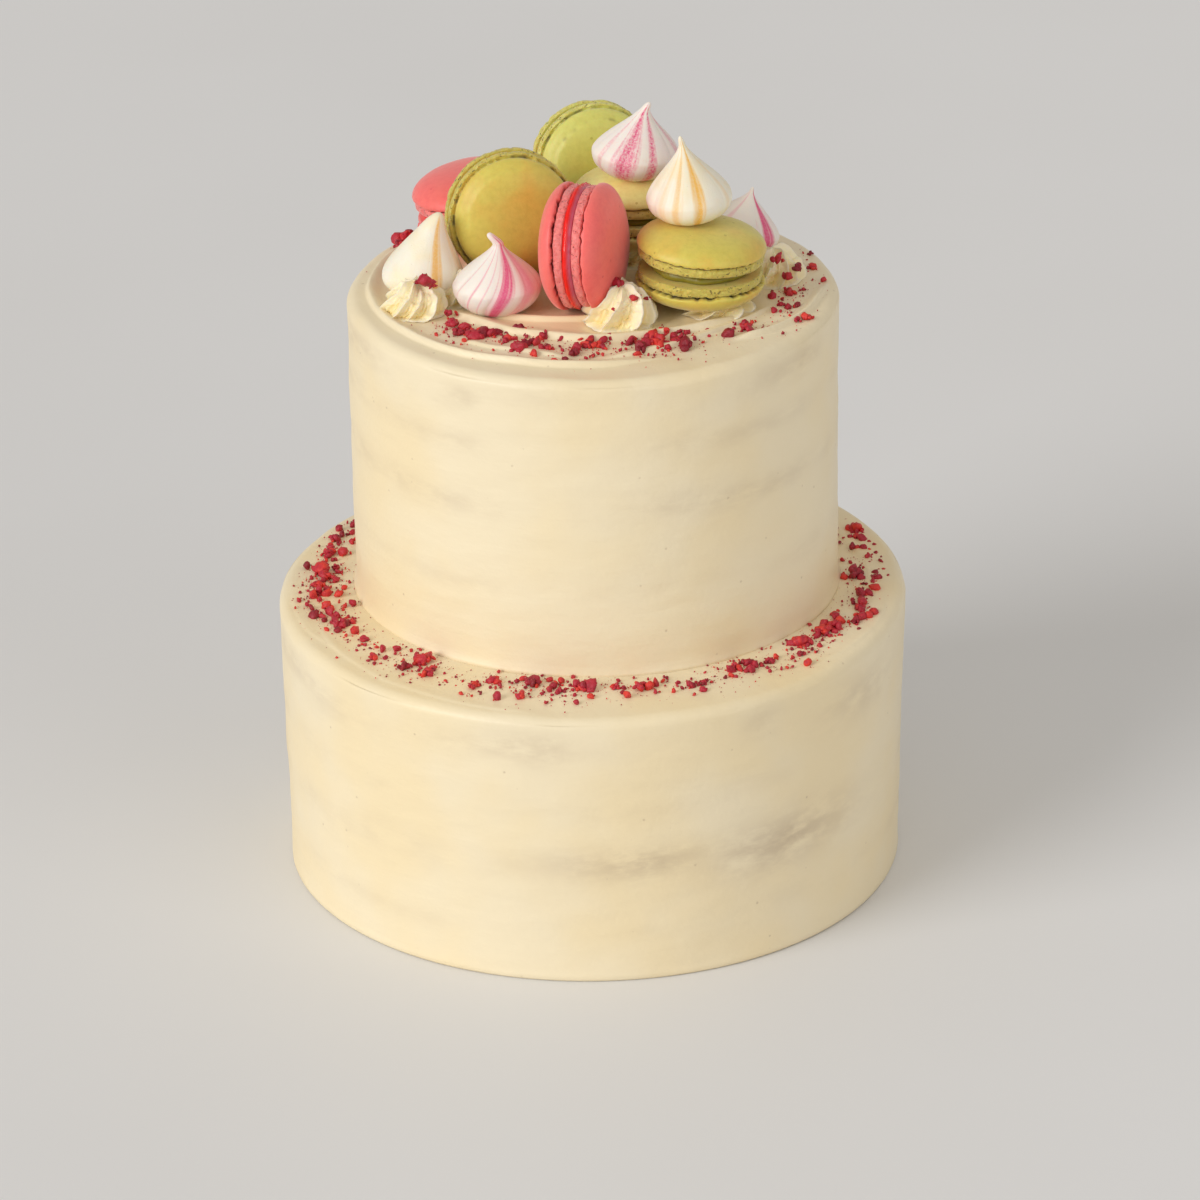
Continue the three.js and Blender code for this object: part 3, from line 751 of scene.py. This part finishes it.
def shell_surface(radius, height, columns, seed, flare, fold=None):
    """A macaron shell with its flat face at z = 0. The foot is a half-round band roughened by fine
    noise, the crease above it cuts inwards at a height that wanders, and the dome's radius falls as
    the cosine to the power 0.72 while its height rises as the sine to the power 1.1. A fold is an
    arc round the dome, at an angle, with a half width and a radius, where the skin steps down as it
    baked, its torn edge painted with shade as far as its last number says. A flared shell's foot
    spreads, its dome is smaller by the flare, and its crease is an open groove whose painted shade
    is broken up. Gives the points, and the masks for the foot and for the painted shade in the
    crease and along the torn fold."""
    foot_height, widest, bulge, fold_step = 3.3, 4.5, 1.3, 0.55
    foot_rows, dome_rows, foot_power, dome_in, dome_up = 19, 34, 0.5, 0.72, 1.1
    foot_radius, dome_radius = radius - max(0.1, 0.8 - flare), radius - flare
    if flare:
        lip, groove_r, groove_z = 0.1, dome_radius + np.array([0.8, 0.3, -0.1]), [0.0, -0.5, -0.25]
    else:
        lip, groove_r, groove_z = 1.0, foot_radius - np.array([1.5, 2.1, 1.9]), [0.02, 0.2, 0.5]
    turn = np.radians(np.linspace(-88, 74, foot_rows))
    step = np.radians(np.linspace(2, 88.5, dome_rows))
    r = np.concatenate([
        radius * np.array([0.4, 0.7, 0.8, 0.86]),
        foot_radius - bulge + bulge * np.cos(turn) ** foot_power,
        groove_r, dome_radius - lip * np.array([1.3, 0.42, 0.06]),
        dome_radius * np.cos(step) ** dome_in])[:, None]
    z = np.concatenate([
        np.zeros(4), foot_height / 2 * (1 + np.sin(turn)),
        foot_height + np.array([*groove_z, 0.62, 0.7, 0.9]),
        widest + (height - widest) * np.sin(step) ** dome_up])[:, None]

    # The underside has rows 0 to 3, the foot 4 to 22, the crease 23 to 25, and the dome the rest.
    row = np.arange(len(r))[:, None]
    in_foot = smooth_step(3, 7, row) * (row < 23)
    in_crease = np.exp(-((row - 24.3) / 1.3) ** 2)
    near_crease = np.exp(-((row - 24.8) / 2.8) ** 2)
    in_dome = smooth_step(27, 33, row)

    angle = columns_round(columns)
    place, around = rings(r, angle, z), rings(radius, angle, 0.0)
    ragged = relief(around, seed, *FINE_TEARS) + relief(around, seed + 7, *SLOW_TEARS)
    crags = relief(place * (1, 1, 1.3), seed + 1, *FOOT_CRAGS)
    frill = np.minimum(crags, 0.15) * 0.42 + relief(around, seed + 2, *FOOT_WAVES)
    dome = relief(place, seed + 3, *DOME_WAVES)
    out = r + in_foot * frill + in_crease * ragged * 0.4 \
        + in_dome * dome * 0.6 * np.clip(r / radius, 0, 1)
    up = z + near_crease * ragged * 0.66 + in_dome * dome + in_foot * crags * 0.10
    # The crease mask paints shade into the groove under the dome's edge.
    crease_shade = np.clip(in_crease * (1.2 + 1.1 * ragged), 0, 1)
    if flare:
        breaks = smooth_step(0.0, 0.55, relief(around, seed + 8, *CREASE_BREAKS))
        crease_shade = crease_shade * (0.15 + 0.6 * breaks)
    if fold:
        centre, half, reach, tear = fold
        arc = smooth_step(1, 0.7, np.abs(apart(angle, centre)) / half) * in_dome
        off = r - reach - relief(around, seed + 5, *FOLD_WANDER)
        up = up - arc * fold_step * smooth_step(-0.9, 0.5, off)
        torn = smooth_step(0.05, 0.6, relief(around, seed + 6, *FOLD_BREAKS))
        # The torn edge of the fold is drawn with the crease colour: painted shade.
        crease_shade = np.maximum(crease_shade, tear * arc * torn * np.exp(-(off / 0.4) ** 2))
    points = rings(np.minimum(out, radius + 0.1), angle, up)
    return points, {"foot": in_foot, "crease_shade": crease_shade}


def filling_surface(radius, thick, gape, seed):
    """A filling between shells: a disc whose edge bulges as a half round and wanders by noise, and
    lies a little deeper on the top's side. Where the shells gape its top face slopes."""
    bulge, deeper, columns = 1.3, 0.9, 240
    turn = np.radians(np.linspace(-90, 90, 13))
    flat = [radius * 0.5, radius - 1.2]
    r = np.concatenate([flat, radius - 0.9 + bulge * np.cos(turn), flat[::-1]])[:, None]
    z = np.concatenate([[0, 0], thick / 2 * (1 + np.sin(turn)), [thick, thick]])[:, None]
    angle = columns_round(columns)
    edge = smooth_step(0.86 * radius, radius, r)
    side = smooth_step(0.56, 0.70, z / thick)
    out = r + edge * (relief(rings(r, angle, z), seed, *FILLING_WAVES) - deeper * side)
    slope = np.where(z > thick / 2, -out * np.cos(angle) * math.tan(math.radians(gape)), 0)
    return rings(out, angle, z + slope), {"side": side}


class CAKE_PG_macarons(bpy.types.PropertyGroup):
    """Sizes and colours of the macarons."""
    radius: a_length("Radius", "Widest radius of a shell", 22.6)
    height: a_length("Height", "Height of a shell", 12.0)
    columns: a_number("Columns", "Points round each shell", 360, 48)
    pink: a_colour("Pink", "the pink shells", 255, 114, 110)
    green: a_colour("Green", "the green shells", 221, 206, 96)
    pale_green: a_colour("Pale Green", "the palest green shells", 222, 220, 118)
    yellow: a_colour("Yellow", "the yellow shells", 255, 243, 162)
    jam: a_colour("Jam", "the jam", 255, 20, 6)
    cream: a_colour("Berry Cream", "the cream beside the jam", 226, 104, 132)
    olive: a_colour("Olive Cream", "the green filling", 150, 142, 50)


class CAKE_OT_macarons(bpy.types.Operator):
    """Makes the shells and fillings of the macarons"""
    bl_idname = "cake.macarons"
    bl_label = "Macarons"

    def execute(self, context):
        given = context.scene.cake_macarons
        shells = {key: shell_material(f"{key}_shell", getattr(given, key), *tones)
                  for key, tones in SHELL_TONES.items()}
        jam = filling_material("jam", given.jam, given.cream, 0.16)
        olive = filling_material("olive_cream", given.olive, srgb(120, 112, 40), 0.35)
        plain = {"radius": given.radius / MM, "height": given.height / MM, "thick": 3.0,
                 "gape": 0.0, "flare": 0.0, "fold": None}
        gap, first_seed, filling_seed = 0.05, 200, 300
        for count, spec in enumerate(MACARONS):
            size = {**plain, **spec}
            name, colour, height, thick = (size[k] for k in ("name", "colour", "height", "thick"))
            into_place = leaning(size["azimuth"], size["elevation"]), above_top(size["centre"])
            tilt = np.array(Matrix.Rotation(math.radians(size["gape"]), 3, "Y"))
            for part, own, side in (("base", TURNED_OVER, -1), ("top", tilt, 1)):
                fold = size["fold"] if part == "top" else None
                seed = first_seed + 20 * count + len(part)
                grid, masks = shell_surface(size["radius"], height, given.columns, seed,
                                            size["flare"], fold)
                ring_piece(f"{name}_{part}_shell", grid, (0, 0, height), [f"macaron_{name}_{part}"],
                           f"{colour}_shell", shells[size.get("tint", colour)], masks,
                           (own, (0, 0, side * (thick / 2 + gap))), into_place)
            grid, masks = filling_surface(size["filled"], thick, size["gape"],
                                          filling_seed + count)
            slot, finish = ("red_filling", jam) if colour == "pink" else ("green_filling", olive)
            ring_piece(f"{name}_filling", grid, (0, 0, thick), [f"macaron_{name}_filling"], slot,
                       finish, masks, (UNTURNED, (0, 0, -thick / 2)), into_place)
        return {"FINISHED"}


# Kisses


def kiss_radius(size, height):
    """A kiss's radius at a height: near round below its widest ring, then a body that is drawn in
    by one minus a power of the share of its neck's height, and a tail that ends in a small round
    tip."""
    widest, full, tip, neck = (size[key] for key in ("widest", "height", "tip", "neck"))
    roundness, tip_starts, sharpness = 2.2, 0.8, 1.35 + 1.2 * (neck - 0.75)
    below = np.clip(widest - height, 0, None) / (widest * 1.2)
    low = size["radius"] * np.sqrt(1 - below ** roundness)
    share = np.clip((height - widest) / (full - widest), 0, 1)
    body = (1 - np.clip(share / neck, 0, 1) ** 1.5) ** sharpness
    rounded = np.clip((share - tip_starts) / 0.2, 0, 1) ** roundness
    tail = tip * np.sqrt(1 - rounded)
    return np.where(height < widest, low, (size["radius"] - tip) * body + tail)


def kiss_surface(size, columns, seed):
    """A meringue kiss about +Z: its radius by height, less narrow furrows that twist as they rise,
    come and go with noise, and fade at the tip. The middle line bends sideways by the square of
    the height, and hooks over at the very tip. Gives the points and the mask of its colour
    streaks, each a band at a twisted angle with feathered edges."""
    foot, rest, rows = 0.04, 0.958, 104
    share = np.concatenate([np.linspace(0, foot, 5),
                            foot + rest * np.linspace(0, 1, rows)[1:]])[:, None]
    height = size["height"] * share
    radius = kiss_radius(size, height)
    radius[0] *= 0.55
    angle = columns_round(columns)
    twisted = angle - size["twist"] * share * (1 - 0.25 * share)
    place = rings(9.0, twisted, height * 0.12)
    furrow = (1 - np.abs(np.sin(size["ridges"] / 2 * twisted
                                + relief(place, seed, *FURROW_WANDER)))) ** 2
    kept = smooth_step(-0.5, 0.5, relief(place, seed + 5, *FURROW_BREAKS))
    slack = relief(rings(radius, angle, height), seed + 1, *KISS_WAVES)
    flute = size["flute"]
    out = radius * (1 + (slack - flute * (0.4 + 1.6 * kept) * furrow + 0.5 * flute)
                    * (1 - share ** 3))
    streaks = 0 * out
    drift = relief(rings(12.0, twisted, height * 0.5), seed + 2, *STREAK_WANDER)
    feather = relief(rings(30.0, twisted, height * 0.10), seed + 3, *STREAK_FEATHER)
    for centre, half, strength in size["streaks"]:
        off = np.abs(apart(twisted, centre) + drift * min(1.0, half / 6)) / half
        streaks = np.maximum(streaks, strength * smooth_step(1.5, 0.1, off + feather))
    grid = rings(out, angle, height)
    grid[..., 0] += size["curl"] * share ** 2 + size["hook"] * smooth_step(0.84, 1.0, share)
    return grid, {"streak": streaks * smooth_step(1.02, 0.90, share)}


class CAKE_PG_kisses(bpy.types.PropertyGroup):
    """Sizes and colours of the meringue kisses."""
    radius: a_length("Radius", "Widest radius of a kiss", 15.1)
    height: a_length("Height", "Height of a kiss", 28.0)
    ridges: a_number("Ridges", "Flutes round a kiss", 10, 4)
    columns: a_number("Columns", "Points round a kiss", 240, 32)
    white: a_colour("Meringue", "the meringue", 247, 240, 232)
    pink: a_colour("Pink Streak", "the pink streaks", 232, 92, 140)
    orange: a_colour("Orange Streak", "the orange streaks", 246, 190, 84)


class CAKE_OT_kisses(bpy.types.Operator):
    """Makes the meringue kisses"""
    bl_idname = "cake.kisses"
    bl_label = "Meringue Kisses"

    def execute(self, context):
        given = context.scene.cake_kisses
        rose, ivory, butter = srgb(246, 232, 228), srgb(250, 243, 226), srgb(249, 237, 206)
        pink = meringue_material("pink_meringue", given.white, rose, given.pink, 0.12)
        sugary = meringue_material("sugary_meringue", given.white, rose, given.pink, 0.6)
        orange = meringue_material("orange_meringue", ivory, butter, given.orange, 0.2)
        plain = {"radius": given.radius / MM, "height": given.height / MM, "widest": 9.0,
                 "tip": 1.2, "curl": 0.0, "hook": 0.0, "ridges": given.ridges}
        first_seed = 400
        for count, spec in enumerate(KISSES):
            size = {**plain, **spec}
            name = size["name"]
            grid, masks = kiss_surface(size, given.columns, first_seed + 10 * count)
            peak = size["curl"] + size["hook"], 0, size["height"]
            slot = "pink_meringue" if "pink" in name else "orange_meringue"
            finish = sugary if "sugar" in size else pink if "pink" in name else orange
            turn = leaning(size["azimuth"], size["elevation"])
            ring_piece(f"{name}_meringue", grid, peak, [name], slot, finish, masks,
                       (turn, above_top(size["base"])))
        return {"FINISHED"}


# Rosettes


def rosette_surface(radius, height, lobes, turn, seed, rough, deep):
    """A piped rosette: a low dome cut by deep grooves between the nozzle's ridges. Each ridge's
    crest is sharp, as one minus a low power of the sine of half the lobe angle, and has its own
    reach and lift, with finer ridges between. All twist as they rise, and the crests stand up as
    torn petals towards the peak. Gives the points and a mask that is 1 down in the grooves, where
    it lays painted shade."""
    knots, reach = [0, 0.16, 0.42, 0.66, 0.86, 1.0], [0.86, 1.0, 0.9, 0.6, 0.27, 0.03]
    comb_depth, reach_spread, sweep, columns = 0.035, 0.10, 0.9, 288
    petal_at, petal_wide, petal_height, ruffle_height = 0.80, 0.13, 0.12, 0.07
    share = np.concatenate([[0.0, 0.0], np.linspace(0, 1, 82)[1:-1]])
    profile = np.pad(np.interp(share, knots, reach), 4, mode="edge")
    profile = np.convolve(profile, np.ones(9) / 9, mode="valid")
    profile[0] *= 0.5
    share, profile = share[:, None], profile[:, None]
    angle = columns_round(columns)
    rng = np.random.default_rng(seed)
    own, lifted = rng.uniform(-1, 1, (2, lobes))
    shift = rng.uniform(0, TAU, 2)
    uneven = angle + 0.10 * np.sin(2 * angle + shift[0]) + 0.06 * np.sin(3 * angle + shift[1])
    ridge = np.floor(uneven / TAU * lobes + 0.5).astype(int) % lobes
    own, lifted = own[ridge], lifted[ridge]
    between = np.abs(np.sin(lobes / 2 * uneven)) ** 0.6
    crest = 1 - between
    comb = 0.5 - 0.5 * np.cos(4 * lobes * uneven)
    fade = np.clip(1.3 - share, 0, 1) * smooth_step(0, 0.08, share)
    arch = np.sin(math.pi * share)
    place = rings(profile * radius, angle, share * height)
    out = radius * profile * (1 - (deep * between + comb_depth * comb) * fade
                              + reach_spread * own * crest * fade
                              + relief(place, seed, 4.0, rough, 3))
    ruffle = arch * (ruffle_height + ruffle_height * lifted) * crest
    petal = np.exp(-((share - petal_at) / petal_wide) ** 2) * crest \
        * (petal_height + petal_height * own)
    up = height * (share * (0.90 + 0.03 * own) + petal + ruffle
                   + relief(place, seed + 1, 3.0, rough, 2) * arch)
    points = rings(out, angle + sweep * share + math.radians(turn), up)
    return points, {"groove_shade": np.clip(between * fade, 0, 1) ** 1.5}


class CAKE_PG_rosettes(bpy.types.PropertyGroup):
    """Sizes and colours of the piped rosettes."""
    radius: a_length("Radius", "Radius of a rosette", 14.0)
    height: a_length("Height", "Height of a rosette", 15.0)
    lobes: a_number("Ridges", "Ridges round a rosette", 9, 4)
    piping: a_colour("Piped Cream", "the piped cream", 255, 244, 214)
    # This colour is painted shade, darker and yellower, down in the grooves and pits.
    piping_shade: a_colour("Groove", "the cream down in the grooves", 252, 230, 168)


class CAKE_OT_rosettes(bpy.types.Operator):
    """Makes the piped rosettes and dabs"""
    bl_idname = "cake.rosettes"
    bl_label = "Rosettes"

    def execute(self, context):
        given = context.scene.cake_rosettes
        cream = piping_material(given)
        plain = {"radius": given.radius / MM, "height": given.height / MM, "rough": 0.08,
                 "deep": 0.34}
        first_seed, raised = 500, 0.02
        for count, spec in enumerate(ROSETTES):
            size = {**plain, **spec}
            grid, masks = rosette_surface(size["radius"], size["height"], given.lobes,
                                          size["turn"], first_seed + count, size["rough"],
                                          size["deep"])
            peak = 0, 0, size["height"] * 0.95
            ring_piece(f"{size['name']}_cream", grid, peak, [size["name"]], "buttercream", cream,
                       masks, (UNTURNED, above_top((*size["at"], raised))))
        return {"FINISHED"}


# Crumbs


def repeatable(seed):
    """The same random numbers from 0 to 1 that place the solids' crumbs."""
    state = seed
    while True:
        state = (state + 0x6D2B79F5) & WORD
        mixed = ((state ^ (state >> 15)) * (1 | state)) & WORD
        mixed ^= (mixed + (((mixed ^ (mixed >> 7)) * (61 | mixed)) & WORD)) & WORD
        yield ((mixed ^ (mixed >> 14)) & WORD) / (WORD + 1)


def from_axis(x, y):
    """How far a place is from the upper tier's axis."""
    return np.hypot(x - UPPER["at"][0], y - UPPER["at"][1])


def near_toppings(x, y, room):
    """True where a crumb would be closer than room to a topping's footprint, or off the face."""
    prints = [(*m["centre"][:2], ROOM["lying" if m["elevation"] > 45 else "on_edge"])
              for m in MACARONS]
    prints += [(*k["base"][:2], ROOM["kiss"]) for k in KISSES]
    prints += [(*r["at"], r.get("radius", ROOM["piped"])) for r in ROSETTES]
    near = np.any([np.hypot(x - px, y - py) <= reach + room for px, py, reach in prints], axis=0)
    return near | (from_axis(x, y) >= UPPER["brow"] - UPPER["round"])


def off_ledge(x, y, room):
    """True where a crumb would touch the upper tier's wall or hang over the lower tier's brow."""
    in_wall = from_axis(x, y) <= UPPER["foot"] + room
    return in_wall | (np.hypot(x, y) >= LOWER["brow"] - LOWER["round"] - 1)


def large_crumbs(ring, blocked):
    """The solids' own crumbs, by the same draws: place and size of each."""
    unused_draws = 4
    draw = repeatable(ring["seed"])
    found = []
    while len(found) < ring["count"]:
        angle = next(draw) * TAU
        share = 0.5 + 0.5 * (next(draw) - next(draw))
        radius = ring["inner"] + (ring["outer"] - ring["inner"]) * share
        x, y = UPPER["at"][0] + radius * math.cos(angle), UPPER["at"][1] + radius * math.sin(angle)
        if not blocked(x, y, CRUMB["most"] + 0.6):
            size = CRUMB["least"] + (CRUMB["most"] - CRUMB["least"]) * next(draw) ** 2.2
            found.append((x, y, ring["level"] + size * CRUMB["sunk"], size))
            for _ in range(unused_draws):
                next(draw)
    return np.array(found)


def pebble(level):
    """A unit ball of triangles to be roughened into a crumb: its points and corner numbers."""
    ball = bmesh.new()
    bmesh.ops.create_icosphere(ball, subdivisions=level, radius=1.0)
    points = np.array([v.co[:] for v in ball.verts])
    corners = np.array([[v.index for v in f.verts] for f in ball.faces])
    ball.free()
    return points, corners


def lumps(places, sizes, tones, level, rough, rng):
    """Many crumbs at once. Each is the pebble, pushed in and out by noise at about a third and a
    seventh of its width, broken nearly flat on three random planes, stretched, turned by its own
    random turn and moved to its place. Gives points, corners and the tone of each point."""
    coarse, fine, planes, flattened, mottling = 0.62, 0.29, 3, 0.85, 0.22
    points, corners = pebble(level)
    count = len(places)
    stretch = rng.uniform(0.55, 1.2, (count, 1, 3))
    turns = rng.normal(size=(count, 3, 3))
    turns, _ = np.linalg.qr(turns)
    turns *= np.sign(np.linalg.det(turns))[:, None, None]
    own = points[None] + rng.uniform(-50, 50, (count, 1, 3))
    bumps = value_noise(own, coarse, 3) + 0.5 * value_noise(own, fine, 4)
    ball = points[None] * (1 + rough * bumps[..., None])
    for _ in range(planes):
        facing = rng.normal(size=(count, 3))
        facing /= np.linalg.norm(facing, axis=1)[:, None]
        beyond = np.einsum("nij,nj->ni", ball, facing) - rng.uniform(0.45, 0.85, (count, 1))
        ball = ball - np.clip(beyond, 0, None)[..., None] * facing[:, None, :] * flattened
    made = np.einsum("nij,nkj->nki", turns, ball * stretch)
    made = made * sizes[:, None, None] + places[:, None, :]
    faces = corners[None] + (np.arange(count) * len(points))[:, None, None]
    tone = np.clip(tones[:, None] + mottling * bumps, 0, 1)
    return made.reshape(-1, 3), faces.reshape(-1, 3), tone.ravel()


def crumb_cloud(ring, blocked, more, seed):
    """All crumbs of a ring: a large crumb and three middling ones at each of the solids' places and
    of those given, then smaller crumbs and dust, some round the clusters that these make and some
    strewn along the ring. Gives points, corners and tones."""
    large_level, middling_level, coarse = 3, 2, 0.34
    middling, beside, flatness, clear, sunk = 3, 0.75, 0.25, 0.3, 0.3
    rng = np.random.default_rng(seed)
    large = np.concatenate([large_crumbs(ring, blocked), np.add(more, (0, 0, ring["level"], 0))])
    hue = np.clip(rng.normal(0.55, 0.25, len(large)), 0.1, 1)
    kinds = [(large[:, :3], large[:, 3] * 0.80, hue, large_level, coarse)]
    pick = np.repeat(np.arange(len(large)), middling)
    size = large[pick, 3] * rng.uniform(0.35, 0.65, len(pick))
    away = rng.normal(size=(len(pick), 3)) * (1, 1, flatness)
    away *= (large[pick, 3] * beside / np.linalg.norm(away, axis=1))[:, None]
    shade = hue[pick] + rng.normal(0, 0.12, len(pick))
    kinds.append((large[pick, :3] + away, size, shade, middling_level, coarse))
    for share, each, spread, low, high, level, rough in SMALLER:
        count = int(each * ring["count"])
        pick = rng.integers(0, len(large), count)
        near = large[pick, :2] + rng.normal(0, spread, (count, 2))
        turn = rng.uniform(0, TAU, count)
        across = 0.5 + 0.45 * (rng.random(count) - rng.random(count))
        reach = ring["inner"] + (ring["outer"] - ring["inner"]) * across
        strewn = rings(reach, turn, 0.0)[:, :2] + UPPER["at"][:2]
        xy = np.where((rng.random(count) < share)[:, None], near, strewn)
        size = low + (high - low) * rng.random(count) ** 1.8
        keep = ~blocked(xy[:, 0], xy[:, 1], clear + size)
        xy, size = xy[keep], size[keep]
        place = np.column_stack([xy, ring["level"] + size * sunk])
        kinds.append((place, size, rng.beta(1.6, 1.4, len(xy)), level, rough))
    made = [lumps(*kind, rng) for kind in kinds]
    starts = np.cumsum([0] + [len(points) for points, _, _ in made])
    faces = [corners + start for (_, corners, _), start in zip(made, starts)]
    return (np.concatenate([points for points, _, _ in made]), np.concatenate(faces),
            np.concatenate([tones for _, _, tones in made]))


class CAKE_PG_crumbs(bpy.types.PropertyGroup):
    """Colours of the raspberry crumbs."""
    seed: a_number("Seed", "Seed of the small crumbs and dust", 7, 0)
    berry: a_colour("Crimson", "the darker crumbs", 188, 32, 56)
    berry_bright: a_colour("Brick Red", "the brighter crumbs", 226, 56, 44)
    # This colour is the darkest crumbs' own crimson and also the painted shade in a crumb's
    # hollows.
    berry_dark_and_shade: a_colour("Dark and Shade", "a crumb's hollows", 136, 14, 34)
    berry_powder: a_colour("Powder", "the dusty specks on a crumb", 226, 112, 124)


class CAKE_OT_crumbs(bpy.types.Operator):
    """Scatters the raspberry crumbs on both top faces"""
    bl_idname = "cake.crumbs"
    bl_label = "Crumbs"

    def execute(self, context):
        given = context.scene.cake_crumbs
        berry = berry_material(given)
        stray = [(x, y, size * CRUMB["sunk"], size) for x, y, size in STRAY]
        for name, node, ring, blocked, more in (
                ("crumbs_ledge", "tier_lower", LEDGE_CRUMBS, off_ledge, stray),
                ("crumbs_top", "tier_upper", TOP_CRUMBS, near_toppings, PERCHED)):
            points, faces, tones = crumb_cloud(ring, blocked, more, given.seed + len(name))
            piece(name, points, faces.ravel(), np.full(len(faces), 3), [node], None, berry,
                  {"tone": tones})
        return {"FINISHED"}


# Stage


class CAKE_PG_stage(bpy.types.PropertyGroup):
    """The floor, the lights and the camera."""
    floor: a_colour("Floor", "the floor", 234, 235, 238)
    key: a_value("Key Light", "Strength of the soft light from the left", 1.74)
    fill: a_value("Fill Light", "Power of the soft light from the right", 5.5, unit="POWER")
    sky: a_value("Room Light", "Strength of the even light all round", 0.48)
    elevation: a_value("Elevation", "Camera's angle above the level", math.radians(24.79),
                       subtype="ANGLE")
    roll: a_value("Roll", "Camera's turn about its own axis", math.radians(-0.91),
                  subtype="ANGLE")
    distance: a_length("Distance", "From the camera to the point it looks at", 2170.0)
    lens: a_value("Lens", "Focal length of the camera in millimetres", 182.4)


def linked(name, data):
    """A new object in the scene."""
    made = bpy.data.objects.new(name, data)
    bpy.context.scene.collection.objects.link(made)
    return made


def soft_light(name, kind, place, colour, **settings):
    """A soft light at a place, turned towards the middle of the cake."""
    light = bpy.data.lights.new(name, kind)
    light.color = colour
    for key, value in settings.items():
        setattr(light, key, value)
    made = linked(name, light)
    made.location = place
    toward = Vector((0.0, 0.0, 0.14)) - Vector(place)
    made.rotation_euler = toward.to_track_quat("-Z", "Y").to_euler()


class CAKE_OT_stage(bpy.types.Operator):
    """Makes the floor, the lights and the camera"""
    bl_idname = "cake.stage"
    bl_label = "Stage"

    def execute(self, context):
        given = context.scene.cake_stage
        reach, cells, below = 6, 24, 0.0002
        side = np.linspace(-reach, reach, cells + 1)
        x, y = np.meshgrid(side, side)
        points = np.stack([x, y, np.full_like(x, -below)], -1).reshape(-1, 3)
        first = (np.arange(cells)[:, None] * (cells + 1) + np.arange(cells)).ravel()
        quads = np.stack([first, first + 1, first + cells + 2, first + cells + 1], -1)
        mesh = bpy.data.meshes.new("floor")
        mesh.from_pydata(points.tolist(), [], quads.tolist())
        floor = linked("floor", mesh)
        material, tree = new_material("pale_floor", 0.6)
        cloud = patchy(tree, position(tree), 2.2, 0.3, 0.8, 3.0)
        mesh.materials.append(
            finished(material, mix(tree, cloud, given.floor, srgb(190, 184, 178), 0.10)))

        world = bpy.data.worlds.new("room")
        context.scene.world = world
        world.use_nodes = True
        sky = world.node_tree.nodes["Background"]
        sky.inputs["Color"].default_value = (1.0, 0.955, 0.88, 1)
        sky.inputs["Strength"].default_value = given.sky
        soft_light("key", "SUN", (-1.56, -1.11, 1.04), (1.0, 0.985, 0.96), energy=given.key,
                   angle=0.6)
        soft_light("fill", "AREA", (1.2, -1.35, 0.95), (1.0, 0.98, 0.96), energy=given.fill,
                   size=1.4)

        camera = linked("camera", bpy.data.cameras.new("camera"))
        camera.data.lens = given.lens
        camera.data.sensor_width = 36.0
        camera.data.clip_end = 50.0
        tilt, roll = given.elevation, given.roll
        forward = Vector((0, math.cos(tilt), -math.sin(tilt)))
        upward = Vector((0, math.sin(tilt), math.cos(tilt)))
        right = Vector((1, 0, 0))
        across = right * math.cos(roll) + upward * math.sin(roll)
        above = upward * math.cos(roll) - right * math.sin(roll)
        looked_at = Vector((0.00313, 0, 0.0953))
        turn = Matrix((across, above, -forward)).transposed().to_4x4()
        camera.matrix_world = Matrix.Translation(looked_at - forward * given.distance) @ turn
        context.scene.camera = camera
        context.scene.view_settings.view_transform = "Standard"
        return {"FINISHED"}


STEPS = [
    (CAKE_OT_tiers, CAKE_PG_tiers, "cake_tiers"),
    (CAKE_OT_macarons, CAKE_PG_macarons, "cake_macarons"),
    (CAKE_OT_kisses, CAKE_PG_kisses, "cake_kisses"),
    (CAKE_OT_rosettes, CAKE_PG_rosettes, "cake_rosettes"),
    (CAKE_OT_crumbs, CAKE_PG_crumbs, "cake_crumbs"),
    (CAKE_OT_stage, CAKE_PG_stage, "cake_stage"),
]


class CAKE_PT_panel(bpy.types.Panel):
    """Lists the cake's pieces with their sizes and colours"""
    bl_idname = "CAKE_PT_panel"
    bl_label = "Layer Cake"
    bl_space_type = "VIEW_3D"
    bl_region_type = "UI"
    bl_category = "Cake"

    def draw(self, context):
        for operator, settings, name in STEPS:
            box = self.layout.box()
            box.operator(operator.bl_idname)
            for key in settings.__annotations__:
                box.prop(getattr(context.scene, name), key)


def register():
    for operator, settings, name in STEPS:
        bpy.utils.register_class(settings)
        bpy.utils.register_class(operator)
        setattr(bpy.types.Scene, name, PointerProperty(type=settings))
    bpy.utils.register_class(CAKE_PT_panel)


def unregister():
    bpy.utils.unregister_class(CAKE_PT_panel)
    for operator, settings, name in reversed(STEPS):
        delattr(bpy.types.Scene, name)
        bpy.utils.unregister_class(operator)
        bpy.utils.unregister_class(settings)


def main():
    register()
    bpy.ops.cake.tiers()
    bpy.ops.cake.macarons()
    bpy.ops.cake.kisses()
    bpy.ops.cake.rosettes()
    bpy.ops.cake.crumbs()
    bpy.ops.cake.stage()


if __name__ == "__main__":
    main()
